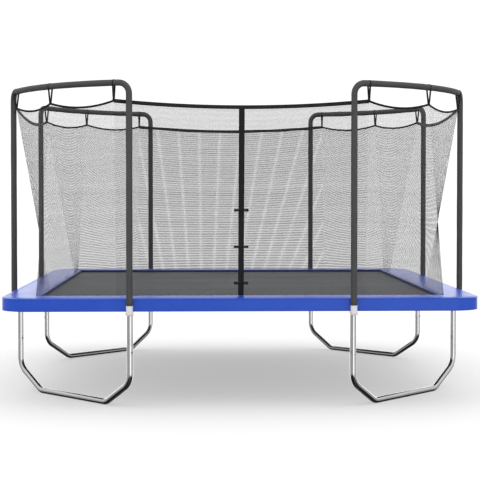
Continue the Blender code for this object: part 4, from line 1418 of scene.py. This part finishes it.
BACKDROP = 1.08  # what the camera sees behind the floor
DOME = 1.76  # the light that falls on the object
DOME_CROWN = 0.7  # and its share from straight above
OVERHEAD = 0.80  # what metal sees above
BETWEEN_BOXES = 0.42  # and between the soft boxes
# Soft boxes round the horizon: azimuth from +Y towards +X, half width in degrees, and brightness
BOXES = ((0, 42, 1.95), (167, 13, 1.6), (132, 34, 0.45))


def studio_light():
    """An even white dome, which polished metal sees as a studio of soft boxes and dark gaps."""
    world = bpy.data.worlds.new("studio")
    bpy.context.scene.world = world
    world.use_nodes = True
    world.node_tree.nodes.clear()
    sky = Nodes(world.node_tree)

    def ramp(value, start, end, low, high):
        return sky.between(value, low, high, start, end, interpolation_type="SMOOTHSTEP")

    def shared(share, second, first):
        """The first value at a share of 1, the second at 0."""
        rest = sky.math("MULTIPLY", second, sky.math("SUBTRACT", 1.0, share))
        return sky.math("ADD", sky.math("MULTIPLY", first, share), rest)

    def facing(azimuth, wide):
        """1 towards an azimuth in degrees and 0 beyond its width."""
        a = radians(azimuth)
        dot = sky.combined("VectorMath", "DOT_PRODUCT", level, (sin(a), cos(a), 0)).outputs["Value"]
        return ramp(dot, cos(radians(wide)), cos(radians(wide * 0.6)), 0, 1)

    heading = sky.node("TexCoord").outputs["Generated"]
    height = sky.node("SeparateXYZ", Vector=heading).outputs["Z"]
    flat = sky.combined("VectorMath", "MULTIPLY", heading, (1, 1, 0)).outputs[0]
    level = sky.combined("VectorMath", "NORMALIZE", flat).outputs[0]
    boxes = BETWEEN_BOXES
    for azimuth, wide, strength in BOXES:
        boxes = sky.math("ADD", boxes, sky.math("MULTIPLY", facing(azimuth, wide), strength))
    studio = sky.math("MULTIPLY", boxes, ramp(height, -0.45, -0.20, 0.04, 1.0))
    mirrored = shared(ramp(height, 0.05, 0.35, 0.0, 1.0), studio, OVERHEAD)
    dome = sky.math("ADD", DOME, ramp(height, 0.6, 0.9, 0.0, DOME_CROWN))
    path = sky.node("LightPath")
    lit = shared(path.outputs["Is Glossy Ray"], dome, mirrored)
    strength = shared(path.outputs["Is Camera Ray"], lit, BACKDROP)
    background = sky.node("Background", Color=(1, 1, 1, 1), Strength=strength)
    sky.node("OutputWorld", Surface=background.outputs[0])


LENS_MM = 90.985
SENSOR_MM = 36
SHIFT = -0.0366
CAMERA_PLACE = (-0.3151, -11.789, 1.756)
CAMERA_TILT, CAMERA_TURN = -0.0242, -0.0305
CLIP_END = 200


def camera():
    data = bpy.data.cameras.new("camera")
    data.lens, data.sensor_width, data.shift_y, data.clip_end = LENS_MM, SENSOR_MM, SHIFT, CLIP_END
    ob = bpy.data.objects.new("camera", data)
    ob.location = CAMERA_PLACE
    ob.rotation_euler = (pi / 2 + CAMERA_TILT, 0, CAMERA_TURN)
    bpy.context.scene.collection.objects.link(ob)
    bpy.context.scene.camera = ob


camera()
floor()
studio_light()
bpy.context.scene.view_settings.view_transform = "Standard"

tint_cad_nodes()
frame_corners()
frame_sides()
legs()
leg_bolts()
arches()
sleeves()
pole_caps()
spring_rows()
mat_rings()
jumping_mat()
pad()
net()
top_edge()
hangers()
door()
zip_slider()
buckles()
